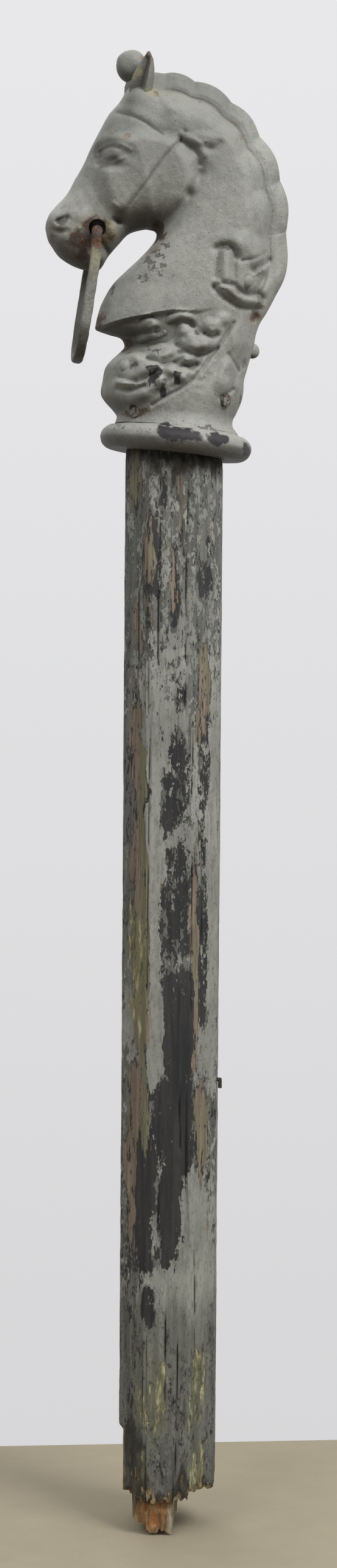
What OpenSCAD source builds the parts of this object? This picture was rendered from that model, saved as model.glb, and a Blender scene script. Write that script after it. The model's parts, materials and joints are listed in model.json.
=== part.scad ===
// A hitching post. A hollow cast iron horse's head, cast as two halves and riveted together,
// stands on the round tenon of an eight-sided timber post, and a tie link swings in its mouth.
// The post's axis is Z, the horse faces -X, and the lowest tip of the broken foot is at Z = 0.

/* [Post] */
// Length from the lowest tip of the foot to the shoulder under the collar
post_length = 1134; // [900:1:1300]
// Width across the post's square faces
post_width = 102; // [98:1:120]
// Leg of the chamfer along each corner
post_chamfer = 27.5; // [20:0.5:30]
// Turn of the post's faces about its axis
post_turn = -8; // [-12:1:12]

/* [Tenon] */
// Diameter of the round tenon on the post
tenon_d = 84; // [76:1:86]
// Height of the tenon above the shoulder
tenon_length = 105; // [90:1:110]
// Gap round the tenon in the socket
tenon_clearance = 0.5; // [0.2:0.1:1]

/* [Casting] */
// Backward lean of the head on the post
head_lean = 5.5; // [0:0.5:7]
// Thickness of the hollow head's wall
wall = 9; // [7:0.5:11]
// Width of the flat faces where the two halves meet
seam_width = 14; // [12:1:18]
// Outer diameter of the collar
collar_d = 160; // [156:1:180]
// Height of the collar, which has a half-round edge
collar_height = 25; // [22:1:28]
// Rise of each lobe along the edge of the mane
lobe_rise = 3.5; // [0:0.5:6]

/* [Tie link] */
// Diameter of the round bar in the mouth, and width of the flat legs
link_d = 12; // [9:0.5:13]
// Thickness of the flat legs and the bend
leg_thickness = 7; // [5:0.5:9]
// Inside width of the loop
link_width = 66; // [64:1:74]
// Length from the bar's axis to the inside of the bend
link_length = 128; // [110:1:130]
// Radius of the bends between the bar and the legs
link_bend = 10; // [8:0.5:14]
// Diameter of the hole through the mouth
mouth_d = 18; // [16:0.5:20]
// Swing of the link, forward of the head's own axis
link_swing = 3; // [-6:1:160]

/* [Rivets] */
// Diameter of a tie rivet's shank
rivet_d = 9; // [7:0.5:11]
// Diameter of a rivet's low domed head
rivet_head_d = 14; // [12:0.5:16]
// Height of a rivet's head
rivet_head_height = 3.5; // [3:0.5:5]

/* [Screws] */
// Diameter of a fixing screw's shank
screw_d = 6; // [5:0.5:8]
// Diameter of a fixing screw's round head
screw_head_d = 13; // [11:0.5:15]
// Height of a fixing screw's head
screw_head_height = 4; // [3:0.5:5]
// Depth that a screw reaches into the tenon
screw_depth = 26; // [15:1:32]

/* [Nail] */
// Diameter of the old nail
nail_d = 4; // [3:0.5:6]
// Depth that the nail reaches into the post
nail_depth = 35; // [20:1:45]
// Length of the nail's end, bent down along the post
nail_tail = 9; // [6:1:20]
// Height of the nail above the foot's tip
nail_height = 479; // [300:1:800]

/* [Hidden] */
$fn = 64;

iron = "#868b84";
rust = "#7a4a32";
timber = "#6c7069";

// Radial gap round a rivet, a screw or the nail in its hole
fit_gap = 0.05;
// Overlap of shapes that are joined or cut, and a length that reaches past any of them
past = 1;
through = 500;
socket_r = tenon_d / 2 + tenon_clearance;
// The socket runs on above the tenon, into the hollow
socket_depth = tenon_length + 12;
collar_edge_r = collar_height / 2;

// Sections from the nose back over the crest and down to the collar, in the head's own X and Z.
// Each one is the point on the outer edge, the point on the inner edge, the half thickness between
// them, and how far the mane thins it.
SECTIONS = [
    [-158, 226, -158, 218, 8, 0],
    [-155.5, 234, -154.5, 207.5, 17, 0],
    [-150, 242, -150, 201, 21.5, 0],
    [-142, 252.5, -139.5, 190, 25, 0],
    [-137.5, 260.5, -121, 182, 27, 0],
    [-133, 272, -100, 181, 28, 0],
    [-129, 280.5, -90, 197.5, 29, 0],
    [-124.5, 291.5, -81, 210.5, 32, 0],
    [-120, 305.5, -71, 223, 36, 0],
    [-111.5, 327, -55.5, 229.5, 40, 0],
    [-104.5, 343, -48.5, 229.5, 43, 0],
    [-95, 356.5, -45, 229, 45, 0],
    [-85, 376, -43.5, 228, 45, 0],
    [-68, 390, -42.6, 227, 45, 0.4],
    [-52, 392, -42.2, 226.2, 45, 1],
    [-36, 390.5, -42, 225.4, 45, 1],
    [-19, 388, -42, 224.6, 46, 1],
    [2.5, 381, -42.1, 223.7, 47, 1],
    [22, 370.5, -42.3, 222.5, 48, 1],
    [40, 356.5, -42.8, 220.5, 49, 1],
    [55, 339, -44.8, 216.5, 50, 1],
    [70, 318.5, -50, 208.5, 51, 1],
    [81, 296, -59.5, 196.5, 52, 1],
    [89, 270.5, -71, 183.5, 53, 1],
    [93, 243, -83, 168.5, 54, 1],
    [97.5, 217, -91.5, 150, 55, 1],
    [96, 196, -94.5, 138, 56, 0.8],
    [88, 175, -96, 127, 57, 0.5],
    [81, 158, -95, 120.5, 57, 0.3],
    [75, 146, -82, 117, 56, 0.1],
    [72, 134, -69, 114.5, 55, 0],
    [71, 122, -64, 107, 56, 0],
    [68.5, 108, -68, 100, 57, 0],
    [66.5, 97, -76, 91, 58.5, 0],
    [64.5, 85, -81.5, 82, 60, 0],
    [65, 72, -83, 68, 61, 0],
    [63.5, 61, -83.5, 56, 61, 0],
    [60, 50, -79, 48.5, 60, 0],
    [57, 42, -68.5, 39, 58.5, 0],
    [57.5, 35.5, -64.5, 34, 59.5, 0],
    [61.5, 30.5, -65, 29, 62, 0],
    [65, 25.5, -66, 25, 64.5, 0],
    [65, 17, -66, 17, 64.5, 0]
];
LAST = len(SECTIONS) - 1;
ROWS_EACH = 2;
COLUMNS = 28;
// First and last section of the mane, which has a notch at every second section between them
MANE = [14, 24];
// Share of a section where the mane's band starts to thicken, the share over which it does so, and
// its thickness against the neck's
MANE_START = 0.05;
MANE_SHARE = 0.24;
MANE_THIN = 0.4;
// Roundness of the side between its edges: 2 is an ellipse
SWELL_POWER = 2.2;
// The relief fades out towards the edges, this many times as fast as the side falls away
EDGE_FADE = 2;
// First and last section of the hollow, and how much further in it starts along the mane
HOLLOW = [9, 32];
HOLLOW_MANE = 26;
HOLLOW_COLUMNS = 10;

// Raised and sunk shapes on the sides: centre X and Z, half sizes, turn, rise and steepness of the edge
LUMPS = [
    // cheek, with the hollow behind it
    [-62, 277, 56, 52, 0, 7, 3],
    [-4, 288, 16, 20, 0, -3, 1],
    // brow, eye socket and eye
    [-98, 311, 20, 10, 15, 3, 1],
    [-109, 299, 15, 13, 0, -4, 1],
    [-98, 298, 13, 9, 10, 6, 1.2],
    // nostril and its wing, and the chin
    [-147, 227, 14, 12, 20, 3, 1.2],
    [-143, 228, 9, 6, 30, -7, 1.2],
    [-104, 192, 16, 9, 0, 2, 1],
    // bridle rosette and the strap's loose end
    [-39.5, 332, 14, 14, 0, 4, 3],
    [-12, 321, 20, 10, 15, 4, 2],
    // bow: upright loop, knot, lower loop and the loop behind
    [28, 194, 12, 25, -8, 7, 1.5],
    [52, 181, 13, 13, 0, 5, 1.5],
    [50, 163, 26, 11, 20, 6, 1.5],
    [66, 203, 19, 13, -45, 6, 1.5],
    // upper row of the garland
    [-38, 128, 16, 13, 0, 9, 1],
    [-15, 130, 15, 13, 0, 9, 1],
    [6, 129, 14, 13, 0, 8, 1],
    [24, 124, 15, 15, 0, 7, 1],
    // leaves and fruit of the garland, down to the chest
    [8, 105, 18, 14, 40, 10, 1],
    [-14, 98, 18, 14, 30, 10, 1],
    [-4, 84, 18, 13, 45, 9, 1],
    [-38, 96, 17, 13, 20, 9, 1],
    [-26, 74, 19, 14, 35, 9, 1],
    [-50, 78, 18, 13, 20, 8, 1],
    [-44, 58, 20, 12, 30, 7, 1],
    [-66, 62, 16, 12, 10, 6, 1],
    // ribbon tails below the bow
    [50, 125, 14, 26, 5, 5, 1.2],
    [44, 86, 13, 28, -8, 5, 1.2]
];

// Straps of the bridle: half width, rise, and the points of the middle line
STRAP_STEEPNESS = 2;
STRAPS = [
    [6, 3, [[-101, 343], [-82, 340], [-62, 333], [-46, 327]]],
    [6.5, 3, [[-38, 322], [-50, 302], [-62, 284], [-72, 268], [-82, 252]]],
    [6, 3, [[-32, 322], [-18, 313], [-9, 301]]],
    [6, 3, [[-42, 340], [-52, 356], [-60, 372]]]
];

// Lower edge of the neck, where the chest is set back under it
LEDGE = [[-100, 120], [-75, 129], [-54, 136.5], [-24, 145], [-7, 146.5], [23, 153]];
LEDGE_DROP = 13;
// Width of the ledge's step, height where the set-back starts and the rise over which it grows, and
// X where it has faded out and the length over which it fades
LEDGE_STEP = 5;
LEDGE_FOOT = [88, 16];
LEDGE_BACK = [30, 80];

// Hole through the mouth, in the head's own X and Z
mouth = [-106, 221.5];
// The bar hangs at the bottom of the hole, with a small gap
bar_gap = 0.4;
link_axis = [mouth[0], 0, mouth[1] - (mouth_d - link_d) / 2 + bar_gap];
leg_y = (link_width + leg_thickness) / 2;

// Places of the tie rivets: section number, and share of the way from the outer edge to the inner
MUZZLE_RIVET = [4.5, 0.66];
POLL_RIVET = [15, 0.34];
NECK_RIVET = [26, 0.23];
CHEST_RIVET = [34, 0.87];
// Height of a rivet's head above the face of the casting
rivet_proud = 0.8;
// Gap round a rivet's or a screw's head in its recess
head_gap = 0.4;

// Place of the nail across the post's back face, and the gap under its bent end
nail_y = -16;
nail_gap = 0.5;
nail_out = nail_d / 2 + nail_gap;

// Fixing screws: angle about the socket, height, and radius of the seat under the head
SCREWS = [[45, 59, 59], [140, 37, 61]];

// Wood gone from the foot: corner X and Y, sizes along X and Y, height of the break, and its two slopes
BREAKS = [
    [-60, -60, 14, 120, 116, 2, 4],
    [-60, -60, 28, 120, 38, 3, 10],
    [-34, -60, 16, 62, 13, -8, 8],
    [-34, 0, 22, 60, 22, 9, -6],
    [-18, 12, 32, 50, 8, 14, 4],
    [8, -60, 16, 72, 33, 5, -9],
    [10, 10, 20, 50, 20, 8, 6],
    [22, -60, 40, 120, 43, -4, -7],
    [-20, -60, 30, 34, 2, -12, 4]
];

// Rings of an ear, from the root up: height, centre X, centre Y, half width and half depth
EAR = [
    [350, -80, 20, 10, 10],
    [361, -80, 22, 14, 11],
    [371, -78.5, 24.5, 13.5, 10],
    [381, -75.5, 26.5, 11.5, 9],
    [390, -73, 28, 9, 7],
    [399, -71.5, 28.5, 5.5, 4.5],
    [407, -71.5, 29, 1.5, 1.5]
];
EAR_SIDES = 16;
// Depth of the ear's hollow against its radius, and the way that it faces
EAR_SCOOP = 0.6;
EAR_FACING = 125;
// Round forelock between the ears, on a short stem, and the knob of the tassel behind the neck
forelock = [-86, 0, 395];
forelock_r = 17;
forelock_stem_r = 12;
forelock_root = [-77, 0, 360];
tassel = [70, 0, 117];
tassel_r = 8;

function smooth(u) =
    let (v = min(1, max(0, u)))
    v * v * (3 - 2 * v);

// Curve through four values, from the second to the third
function curve(a, b, c, d, t) =
    0.5 * (2 * b + (c - a) * t + (2 * a - 5 * b + 4 * c - d) * t * t + (3 * b - a - 3 * c + d) * t * t * t);

function section(s) =
    let (k = min(floor(s), LAST - 1))
    curve(
        SECTIONS[max(k - 1, 0)], SECTIONS[k], SECTIONS[k + 1], SECTIONS[min(k + 2, LAST)], s - k
    );

function outer(q) = [q[0], q[1]];
function inner(q) = [q[2], q[3]];

// Outward push of the mane's lobes at a section
function lobe(s) =
    s > MANE[0] && s < MANE[1] ? lobe_rise * abs(sin(90 * (s - MANE[0]))) : 0;

// Swell of the side from edge to edge, thinner along the mane
function swell(t) = sqrt(max(0, 1 - pow(abs(2 * t - 1), SWELL_POWER)));
function thinning(t, crest) =
    1 - crest * (1 - MANE_THIN) * (1 - smooth((t - MANE_START) / MANE_SHARE));

function turned(p, a) = [p[0] * cos(a) + p[1] * sin(a), p[1] * cos(a) - p[0] * sin(a)];
function lump(p, m) =
    let (d = turned([p[0] - m[0], p[1] - m[1]], m[4]))
    m[5] * smooth((1 - norm([d[0] / m[2], d[1] / m[3]])) * m[6]);

function to_segment(p, a, b) =
    let (along = min(1, max(0, (p - a) * (b - a) / ((b - a) * (b - a)))))
    norm(p - a - along * (b - a));
function to_line(p, line) =
    min([for (i = [0 : len(line) - 2]) to_segment(p, line[i], line[i + 1])]);
function strap(p, m) = m[1] * smooth(STRAP_STEEPNESS * (1 - to_line(p, m[2]) / m[0]));

// The chest is set back under the neck's lower edge, most at the front
function ledge(p) =
    let (
        under = smooth((lookup(p[0], LEDGE) - p[1]) / LEDGE_STEP),
        above = smooth((p[1] - LEDGE_FOOT[0]) / LEDGE_FOOT[1]),
        front = smooth((LEDGE_BACK[0] - p[0]) / LEDGE_BACK[1])
    )
    -LEDGE_DROP * under * above * front;

function total(values, i = 0) = i < len(values) ? values[i] + total(values, i + 1) : 0;
function relief(p) =
    ledge(p) + total([for (m = LUMPS) lump(p, m)]) + max([for (m = STRAPS) strap(p, m)]);

// Point of the right half's skin at a section and a share of the way across it
function skin_point(s, t) =
    let (
        q = section(s),
        across = inner(q) - outer(q),
        p = outer(q) + across * t - (1 - t) * lobe(s) * across / norm(across),
        side = swell(t)
    )
    [p[0], q[4] * side * thinning(t, q[5]) + relief(p) * min(1, EDGE_FADE * side), p[1]];

// Point of the hollow, a wall inside the skin and open past the seam
function hollow_point(s, t) =
    let (
        q = section(s),
        across = inner(q) - outer(q),
        step = across / norm(across),
        start = outer(q) + step * (seam_width + q[5] * HOLLOW_MANE),
        end = inner(q) - step * seam_width,
        p = start + (end - start) * t
    )
    [p[0], -past + (q[4] - wall) * swell(t), p[1]];

function share(j, n) = (1 - cos(180 * j / n)) / 2;

// Closed solid from rows of points that start and end on one flat plane
module strip(rows) {
    n = len(rows[0]);
    last = len(rows) - 1;
    points = [for (row = rows, p = row) p];
    sides = [
        for (i = [0 : last - 1], j = [0 : n - 2], half = [0, 1])
            let (a = i * n + j, b = a + 1, c = a + n, d = c + 1)
            half ? [a, d, c] : [a, b, d]
    ];
    backs = [
        for (i = [0 : last - 1], half = [0, 1])
            let (a = i * n, b = a + n - 1, c = a + n, d = c + n - 1)
            half ? [a, c, d] : [a, d, b]
    ];
    ends = [
        [for (j = [n - 1 : -1 : 0]) j],
        [for (j = [0 : n - 1]) last * n + j]
    ];
    polyhedron(points, concat(sides, backs, ends), convexity = 10);
}

module skin() {
    strip([
        for (i = [0 : LAST * ROWS_EACH])
            [for (j = [0 : COLUMNS]) skin_point(i / ROWS_EACH, share(j, COLUMNS))]
    ]);
}

module hollow() {
    strip([
        for (s = [HOLLOW[0] : HOLLOW[1]])
            [for (j = [0 : HOLLOW_COLUMNS]) hollow_point(s, share(j, HOLLOW_COLUMNS))]
    ]);
}

function ear_point(ring, k, a) =
    let (scoop = k > 1 ? 1 - EAR_SCOOP * pow(max(0, cos(a - EAR_FACING)), 2) : 1)
    [ring[1] + ring[3] * scoop * cos(a), ring[2] + ring[4] * scoop * sin(a), ring[0]];

module ear() {
    n = EAR_SIDES;
    last = len(EAR) - 1;
    points = [
        for (k = [0 : last], i = [0 : n - 1]) ear_point(EAR[k], k, 360 * i / n)
    ];
    sides = [
        for (k = [0 : last - 1], i = [0 : n - 1], half = [0, 1])
            let (a = k * n + i, b = k * n + (i + 1) % n, c = a + n, d = b + n)
            half ? [a, c, d] : [a, d, b]
    ];
    ends = [
        [for (i = [0 : n - 1]) i],
        [for (i = [n - 1 : -1 : 0]) last * n + i]
    ];
    polyhedron(points, concat(sides, ends), convexity = 4);
}

// The right-hand half of what stands on the seam
module half_only() {
    intersection() {
        children();
        translate([-through / 2, 0, 0]) cube(through);
    }
}

module forelock_half() {
    stem = forelock - forelock_root;
    half_only() {
        translate(forelock) sphere(forelock_r);
        translate(forelock_root) rotate([0, atan2(stem[0], stem[2]), 0])
            cylinder(r = forelock_stem_r, h = norm(stem));
    }
}

module collar_half() {
    edge = collar_d / 2 - collar_edge_r;
    rotate_extrude(angle = 180) {
        translate([socket_r - past, 0]) square([edge - socket_r + past, collar_height]);
        translate([edge, collar_edge_r]) circle(collar_edge_r);
    }
}

module place_head() {
    translate([0, 0, post_length]) rotate([0, head_lean, 0]) children();
}

module place_post() {
    rotate([0, 0, post_turn]) children();
}

// The nail's axis where it leaves the post's back face
module place_nail() {
    place_post() translate([post_width / 2, nail_y, nail_height]) children();
}

module nail_shank(d) {
    translate([nail_out, 0, 0]) rotate([0, -90, 0]) cylinder(d = d, h = nail_depth + nail_out);
}

// Centre of a rivet in the head's X and Z, with the face of the casting there
function rivet_face(spot) = skin_point(spot[0], spot[1]);
// Distance of a rivet head's underside from the seam
function rivet_seat(face) = face[1] + rivet_proud - rivet_head_height;

module rivet_hole(spot) {
    face = rivet_face(spot);
    translate([face[0], 0, face[2]]) rotate([-90, 0, 0]) {
        translate([0, 0, -past]) cylinder(d = rivet_d + 2 * fit_gap, h = through);
        translate([0, 0, rivet_seat(face)]) cylinder(d = rivet_head_d + 2 * head_gap, h = through);
    }
}

module rivet(spot) {
    face = rivet_face(spot);
    seat = rivet_seat(face);
    dome_r = (pow(rivet_head_d / 2, 2) + pow(rivet_head_height, 2)) / (2 * rivet_head_height);
    color(rust) place_head() translate([face[0], 0, face[2]]) rotate([-90, 0, 0]) {
        cylinder(d = rivet_d, h = 2 * (seat + past), center = true);
        for (side = [0, 1]) mirror([0, 0, side]) translate([0, 0, seat])
            intersection() {
                translate([0, 0, rivet_head_height - dome_r]) sphere(dome_r);
                cylinder(d = rivet_head_d, h = rivet_head_height);
            }
    }
}

module screw_place(spot) {
    rotate([0, 0, spot[0]]) translate([0, 0, spot[1]]) rotate([0, 90, 0]) children();
}

module screw_hole(spot) {
    screw_place(spot) {
        cylinder(d = screw_d + 2 * fit_gap, h = through);
        translate([0, 0, spot[2]]) cylinder(d = screw_head_d + 2 * head_gap, h = through);
    }
}

module casting() {
    difference() {
        union() {
            skin();
            collar_half();
            forelock_half();
            ear();
            half_only() translate(tassel) sphere(tassel_r);
        }
        hollow();
        translate([0, 0, -past]) cylinder(r = socket_r, h = socket_depth + past);
        translate([mouth[0], -past, mouth[1]]) rotate([-90, 0, 0]) cylinder(d = mouth_d, h = through);
        for (spot = [MUZZLE_RIVET, POLL_RIVET, NECK_RIVET, CHEST_RIVET]) rivet_hole(spot);
        for (spot = SCREWS) screw_hole(spot);
    }
}

module post() {
    half = post_width / 2;
    cut = half - post_chamfer;
    outline = [
        [half, -cut], [half, cut], [cut, half], [-cut, half],
        [-half, cut], [-half, -cut], [-cut, -half], [cut, -half]
    ];
    color(timber) difference() {
        union() {
            difference() {
                place_post() linear_extrude(post_length + post_width) polygon(outline);
                place_head() translate([-through / 2, -through / 2, 0]) cube(through);
                place_post() for (b = BREAKS)
                    translate([b[0], b[1], b[4]]) rotate([b[5], b[6], 0])
                        translate([0, 0, -through]) cube([b[2], b[3], through]);
            }
            place_head() translate([0, 0, -past]) cylinder(d = tenon_d, h = tenon_length + past);
        }
        for (side = [0, 1]) place_head() mirror([0, side, 0])
            for (spot = SCREWS)
                screw_place(spot) translate([0, 0, tenon_d / 2 - screw_depth])
                    cylinder(d = screw_d + 2 * fit_gap, h = through);
        place_nail() nail_shank(nail_d + 2 * fit_gap);
    }
}

module head_left_half() {
    color(iron) place_head() mirror([0, 1, 0]) casting();
}

module head_right_half() {
    color(iron) place_head() casting();
}

// The legs' section: round bar hammered flat on two sides
module leg_section() {
    intersection() {
        circle(d = link_d);
        square([link_d, leg_thickness], center = true);
    }
}

module mouth_link() {
    bar = 2 * (leg_y - link_bend);
    drop = link_length - link_width / 2;
    color(rust) place_head() translate(link_axis) rotate([0, link_swing, 0]) {
        rotate([90, 0, 0]) cylinder(d = link_d, h = bar, center = true);
        for (side = [0, 1]) mirror([0, side, 0]) {
            translate([0, bar / 2, -link_bend]) rotate([90, 0, 90])
                rotate_extrude(angle = 90) translate([link_bend, 0]) circle(d = link_d);
            translate([0, leg_y, -drop]) linear_extrude(drop - link_bend) leg_section();
        }
        translate([0, 0, -drop]) rotate([90, 180, 90])
            rotate_extrude(angle = 180) translate([leg_y, 0]) rotate(90) leg_section();
    }
}

module muzzle_rivet() {
    rivet(MUZZLE_RIVET);
}

module poll_rivet() {
    rivet(POLL_RIVET);
}

module neck_rivet() {
    rivet(NECK_RIVET);
}

module chest_rivet() {
    rivet(CHEST_RIVET);
}

module fixing_screws() {
    color(rust) place_head() for (side = [0, 1]) mirror([0, side, 0])
        for (spot = SCREWS) screw_place(spot) {
            translate([0, 0, tenon_d / 2 - screw_depth])
                cylinder(d = screw_d, h = spot[2] - tenon_d / 2 + screw_depth + past);
            translate([0, 0, spot[2]]) cylinder(d = screw_head_d, h = screw_head_height);
        }
}

module bent_nail() {
    color(rust) place_nail() {
        nail_shank(nail_d);
        translate([nail_out, 0, 0]) sphere(d = nail_d);
        translate([nail_out, 0, -nail_tail]) cylinder(d = nail_d, h = nail_tail);
    }
}

post();
head_left_half();
head_right_half();
mouth_link();
muzzle_rivet();
poll_rivet();
neck_rivet();
chest_rivet();
fixing_screws();
bent_nail();
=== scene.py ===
# %% [markdown]
# # A horse-head hitching post
# The object is a hollow iron horse's head on a weathered timber post, with a tie link in its mouth. The
# exact parts come packed from the construction file. They could be painted as they are, but they lack
# the fine carving and the wear. So this lesson keeps only the small fittings from there, and gives the
# head, the link and the post the surfaces that years of paint and weather left.

# %% Load the parts
import json
import math

import bmesh
import bpy
import numpy as np
from mathutils import Matrix, Vector

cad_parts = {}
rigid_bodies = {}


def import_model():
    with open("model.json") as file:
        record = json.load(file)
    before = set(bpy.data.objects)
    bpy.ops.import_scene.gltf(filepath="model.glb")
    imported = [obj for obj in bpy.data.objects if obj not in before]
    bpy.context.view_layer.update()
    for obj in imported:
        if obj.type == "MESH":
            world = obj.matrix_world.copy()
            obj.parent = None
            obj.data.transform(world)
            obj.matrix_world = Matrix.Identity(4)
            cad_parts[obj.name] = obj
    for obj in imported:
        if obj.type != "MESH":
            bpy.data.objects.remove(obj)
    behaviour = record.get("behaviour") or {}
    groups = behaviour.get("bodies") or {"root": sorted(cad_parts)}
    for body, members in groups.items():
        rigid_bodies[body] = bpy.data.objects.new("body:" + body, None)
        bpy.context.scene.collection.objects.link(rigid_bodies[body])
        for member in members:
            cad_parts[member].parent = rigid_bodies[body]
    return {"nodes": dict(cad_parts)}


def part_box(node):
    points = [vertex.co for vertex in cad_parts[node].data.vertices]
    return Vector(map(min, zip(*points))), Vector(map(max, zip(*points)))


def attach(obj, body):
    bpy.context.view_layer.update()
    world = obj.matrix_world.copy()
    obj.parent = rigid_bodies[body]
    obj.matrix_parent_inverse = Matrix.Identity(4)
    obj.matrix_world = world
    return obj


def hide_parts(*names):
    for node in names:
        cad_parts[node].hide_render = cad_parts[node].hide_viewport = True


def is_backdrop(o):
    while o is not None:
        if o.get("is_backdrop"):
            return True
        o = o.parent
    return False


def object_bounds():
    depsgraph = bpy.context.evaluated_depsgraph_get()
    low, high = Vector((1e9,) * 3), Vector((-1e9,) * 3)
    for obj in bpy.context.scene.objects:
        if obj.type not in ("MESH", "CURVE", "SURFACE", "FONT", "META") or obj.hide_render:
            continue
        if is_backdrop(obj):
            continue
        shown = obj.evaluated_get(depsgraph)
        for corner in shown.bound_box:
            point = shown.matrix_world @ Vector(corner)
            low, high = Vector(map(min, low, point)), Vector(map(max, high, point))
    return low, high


for old_object in list(bpy.data.objects):
    bpy.data.objects.remove(old_object)
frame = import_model()
cad_low, cad_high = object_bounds()
print("parts:", sorted(frame["nodes"]))
print("size in mm:", [round(1000 * (b - a)) for a, b in zip(cad_low, cad_high)])

# %% [markdown]
# The new pieces are sheets of points: whole arrays worked out at once from a formula. They could be
# sculpted by hand, but a formula gives the same surface every time and keeps its sizes in view. Three
# small tools do most of the shaping. A smooth step eases from one level to another, a noise gives the
# slow and fine unevenness of castings and timber, and a distance to a line shapes straps and grooves.

# %% Tools for shaping
MM = 0.001
# large primes that scatter the whole-number places of the noise's lattice
SCATTER = (73856093, 19349663, 83492791)


def smooth(u):
    """Eases from 0 to 1 as u goes from 0 to 1, and stays level outside: 3 v squared less 2 v cubed."""
    v = np.clip(u, 0, 1)
    return v * v * (3 - 2 * v)


def noise(points, size, seed=0):
    """Smooth random heights from -1 to 1. The corners of a lattice of that size hold random numbers,
    mixed from their whole-number places, and the eight round a point are blended by smooth steps."""
    spot = points / size + 37.0
    cell = np.floor(spot).astype(np.int64)
    part = smooth(spot - cell)
    total = np.zeros(spot.shape[:-1])
    for corner in np.ndindex(2, 2, 2):
        n = cell + np.array(corner)
        mixed = n[..., 0] * SCATTER[0] ^ n[..., 1] * SCATTER[1] ^ (n[..., 2] + 977 * seed) * SCATTER[2]
        mixed = (mixed ^ (mixed >> 13)) * 1274126177
        mixed = (mixed ^ (mixed >> 16)) & 0xFFFF
        total += np.prod(np.where(corner, part, 1 - part), axis=-1) * (mixed / 32767.5 - 1)
    return total


def to_line(x, z, line):
    """Distance from each point to the nearest segment of a line of points."""
    nearest = np.full(np.shape(x), 1e9)
    for (ax, az), (bx, bz) in zip(line[:-1], line[1:]):
        ux, uz = bx - ax, bz - az
        along = np.clip(((x - ax) * ux + (z - az) * uz) / (ux * ux + uz * uz), 0, 1)
        nearest = np.minimum(nearest, np.hypot(x - ax - along * ux, z - az - along * uz))
    return nearest


print("noise at the origin:", [round(float(noise(np.zeros(3), size)), 2) for size in (3, 9, 24)])

# %% [markdown]
# A sheet becomes a mesh when faces join its points. Each face could be drawn by hand, but the faces
# follow from the rows and columns alone, so they too are worked out as arrays. A flat face or a fan of
# triangles closes each end. Every mesh has to end up closed with its faces outward, because Blender's
# solid tools rely on it.

# %% Tools for meshes


def grid_faces(rows, columns, closed=False, looped=False):
    """Four-cornered faces between neighbours of a grid. A closed grid joins its last column to its
    first, and a looped one its last row to its first."""
    i, j = np.meshgrid(np.arange(rows - (not looped)), np.arange(columns - (not closed)), indexing="ij")
    below, beside = (i + 1) % rows * columns, (j + 1) % columns
    corners = [i * columns + j, i * columns + beside, below + beside, below + j]
    return np.stack(corners, -1).reshape(-1, 4).tolist()


def end_caps(rows, columns):
    """Two flat faces that close the first and the last ring of a grid."""
    ring = np.arange(columns)
    return [ring.tolist(), (ring + (rows - 1) * columns).tolist()]


def fan(tip, row):
    """Triangles from one point to each two neighbours along a row of points."""
    return np.stack([np.full(len(row) - 1, tip), row[:-1], row[1:]], -1).tolist()


def tube(rows):
    """Points and faces of closed rings, one after another, with a flat face at each end."""
    count, width = rows.shape[:2]
    return rows.reshape(-1, 3), grid_faces(count, width, closed=True) + end_caps(count, width)


def make_mesh(name, points, faces):
    """A closed mesh from points and faces, with every face turned outward."""
    mesh = bpy.data.meshes.new(name)
    mesh.from_pydata(np.asarray(points).reshape(-1, 3).tolist(), [], faces)
    work = bmesh.new()
    work.from_mesh(mesh)
    bmesh.ops.recalc_face_normals(work, faces=work.faces)
    work.to_mesh(mesh)
    work.free()
    return mesh


def get_points(mesh):
    """All the points of a mesh as one array."""
    flat = np.empty(3 * len(mesh.vertices), np.float32)
    mesh.vertices.foreach_get("co", flat)
    return flat.reshape(-1, 3).astype(float)


def set_points(mesh, points):
    """Puts an array of points back into a mesh."""
    mesh.vertices.foreach_set("co", np.asarray(points, np.float32).ravel())
    mesh.update()


def set_mask(mesh, name, values):
    """Keeps one number per vertex, which a material can read by name."""
    layer = mesh.attributes.new(name, "FLOAT", "POINT")
    layer.data.foreach_set("value", np.asarray(values, np.float32))


def show(mesh, name, body, slot, *nodes):
    """Makes a piece of a mesh that is already in place, riding on a body and standing for those parts."""
    mesh.shade_smooth()
    mesh.set_sharp_from_angle(angle=math.radians(42))
    piece = bpy.data.objects.new(name, mesh)
    bpy.context.scene.collection.objects.link(piece)
    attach(piece, body)
    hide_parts(*nodes)
    print(name, len(mesh.vertices), "vertices", len(mesh.polygons), "faces")


print("a closed grid of 3 rings of 4 points has", len(grid_faces(3, 4, closed=True)), "faces")

# %% [markdown]
# The head leans back a little on the post, because the shoulder was not sawn square. It could be shaped
# where it stands, but every size is easier to read upright. So it is shaped in its own frame, in
# millimetres from the foot of the collar, and then set on the post.

# %% The head's own frame
LEAN = math.radians(5.5)
POST_LENGTH = 1134
HEAD = np.array([(math.cos(LEAN), 0, math.sin(LEAN)), (0, 1, 0), (-math.sin(LEAN), 0, math.cos(LEAN))])


def to_world(points):
    """From the head's own frame in millimetres to the shared frame in metres."""
    return (points @ HEAD.T + (0, 0, POST_LENGTH)) * MM


def to_head(points):
    """From the shared frame in metres back to the head's own frame in millimetres."""
    return (points / MM - (0, 0, POST_LENGTH)) @ HEAD


RIVETS = ("muzzle_rivet", "poll_rivet", "neck_rivet", "chest_rivet")
rivet_boxes = {name: [to_head(np.array(v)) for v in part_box(name)] for name in RIVETS}
rivet_spots = {name: (low + high)[[0, 2]] / 2 for name, (low, high) in rivet_boxes.items()}
print("rivets at", {name: spot.round().astype(int).tolist() for name, spot in rivet_spots.items()})

# %% [markdown]
# ## The head's outline
# The head is an old casting from a two-part mould. It could be sculpted from a ball. Here its form is a
# strip that runs from the nose, back over the crest and down to the collar: each section crosses it from
# the outer edge to the inner one and swells to a half thickness between them. The sections are those of
# the construction file, so the painted skin sits on the exact casting.

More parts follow.
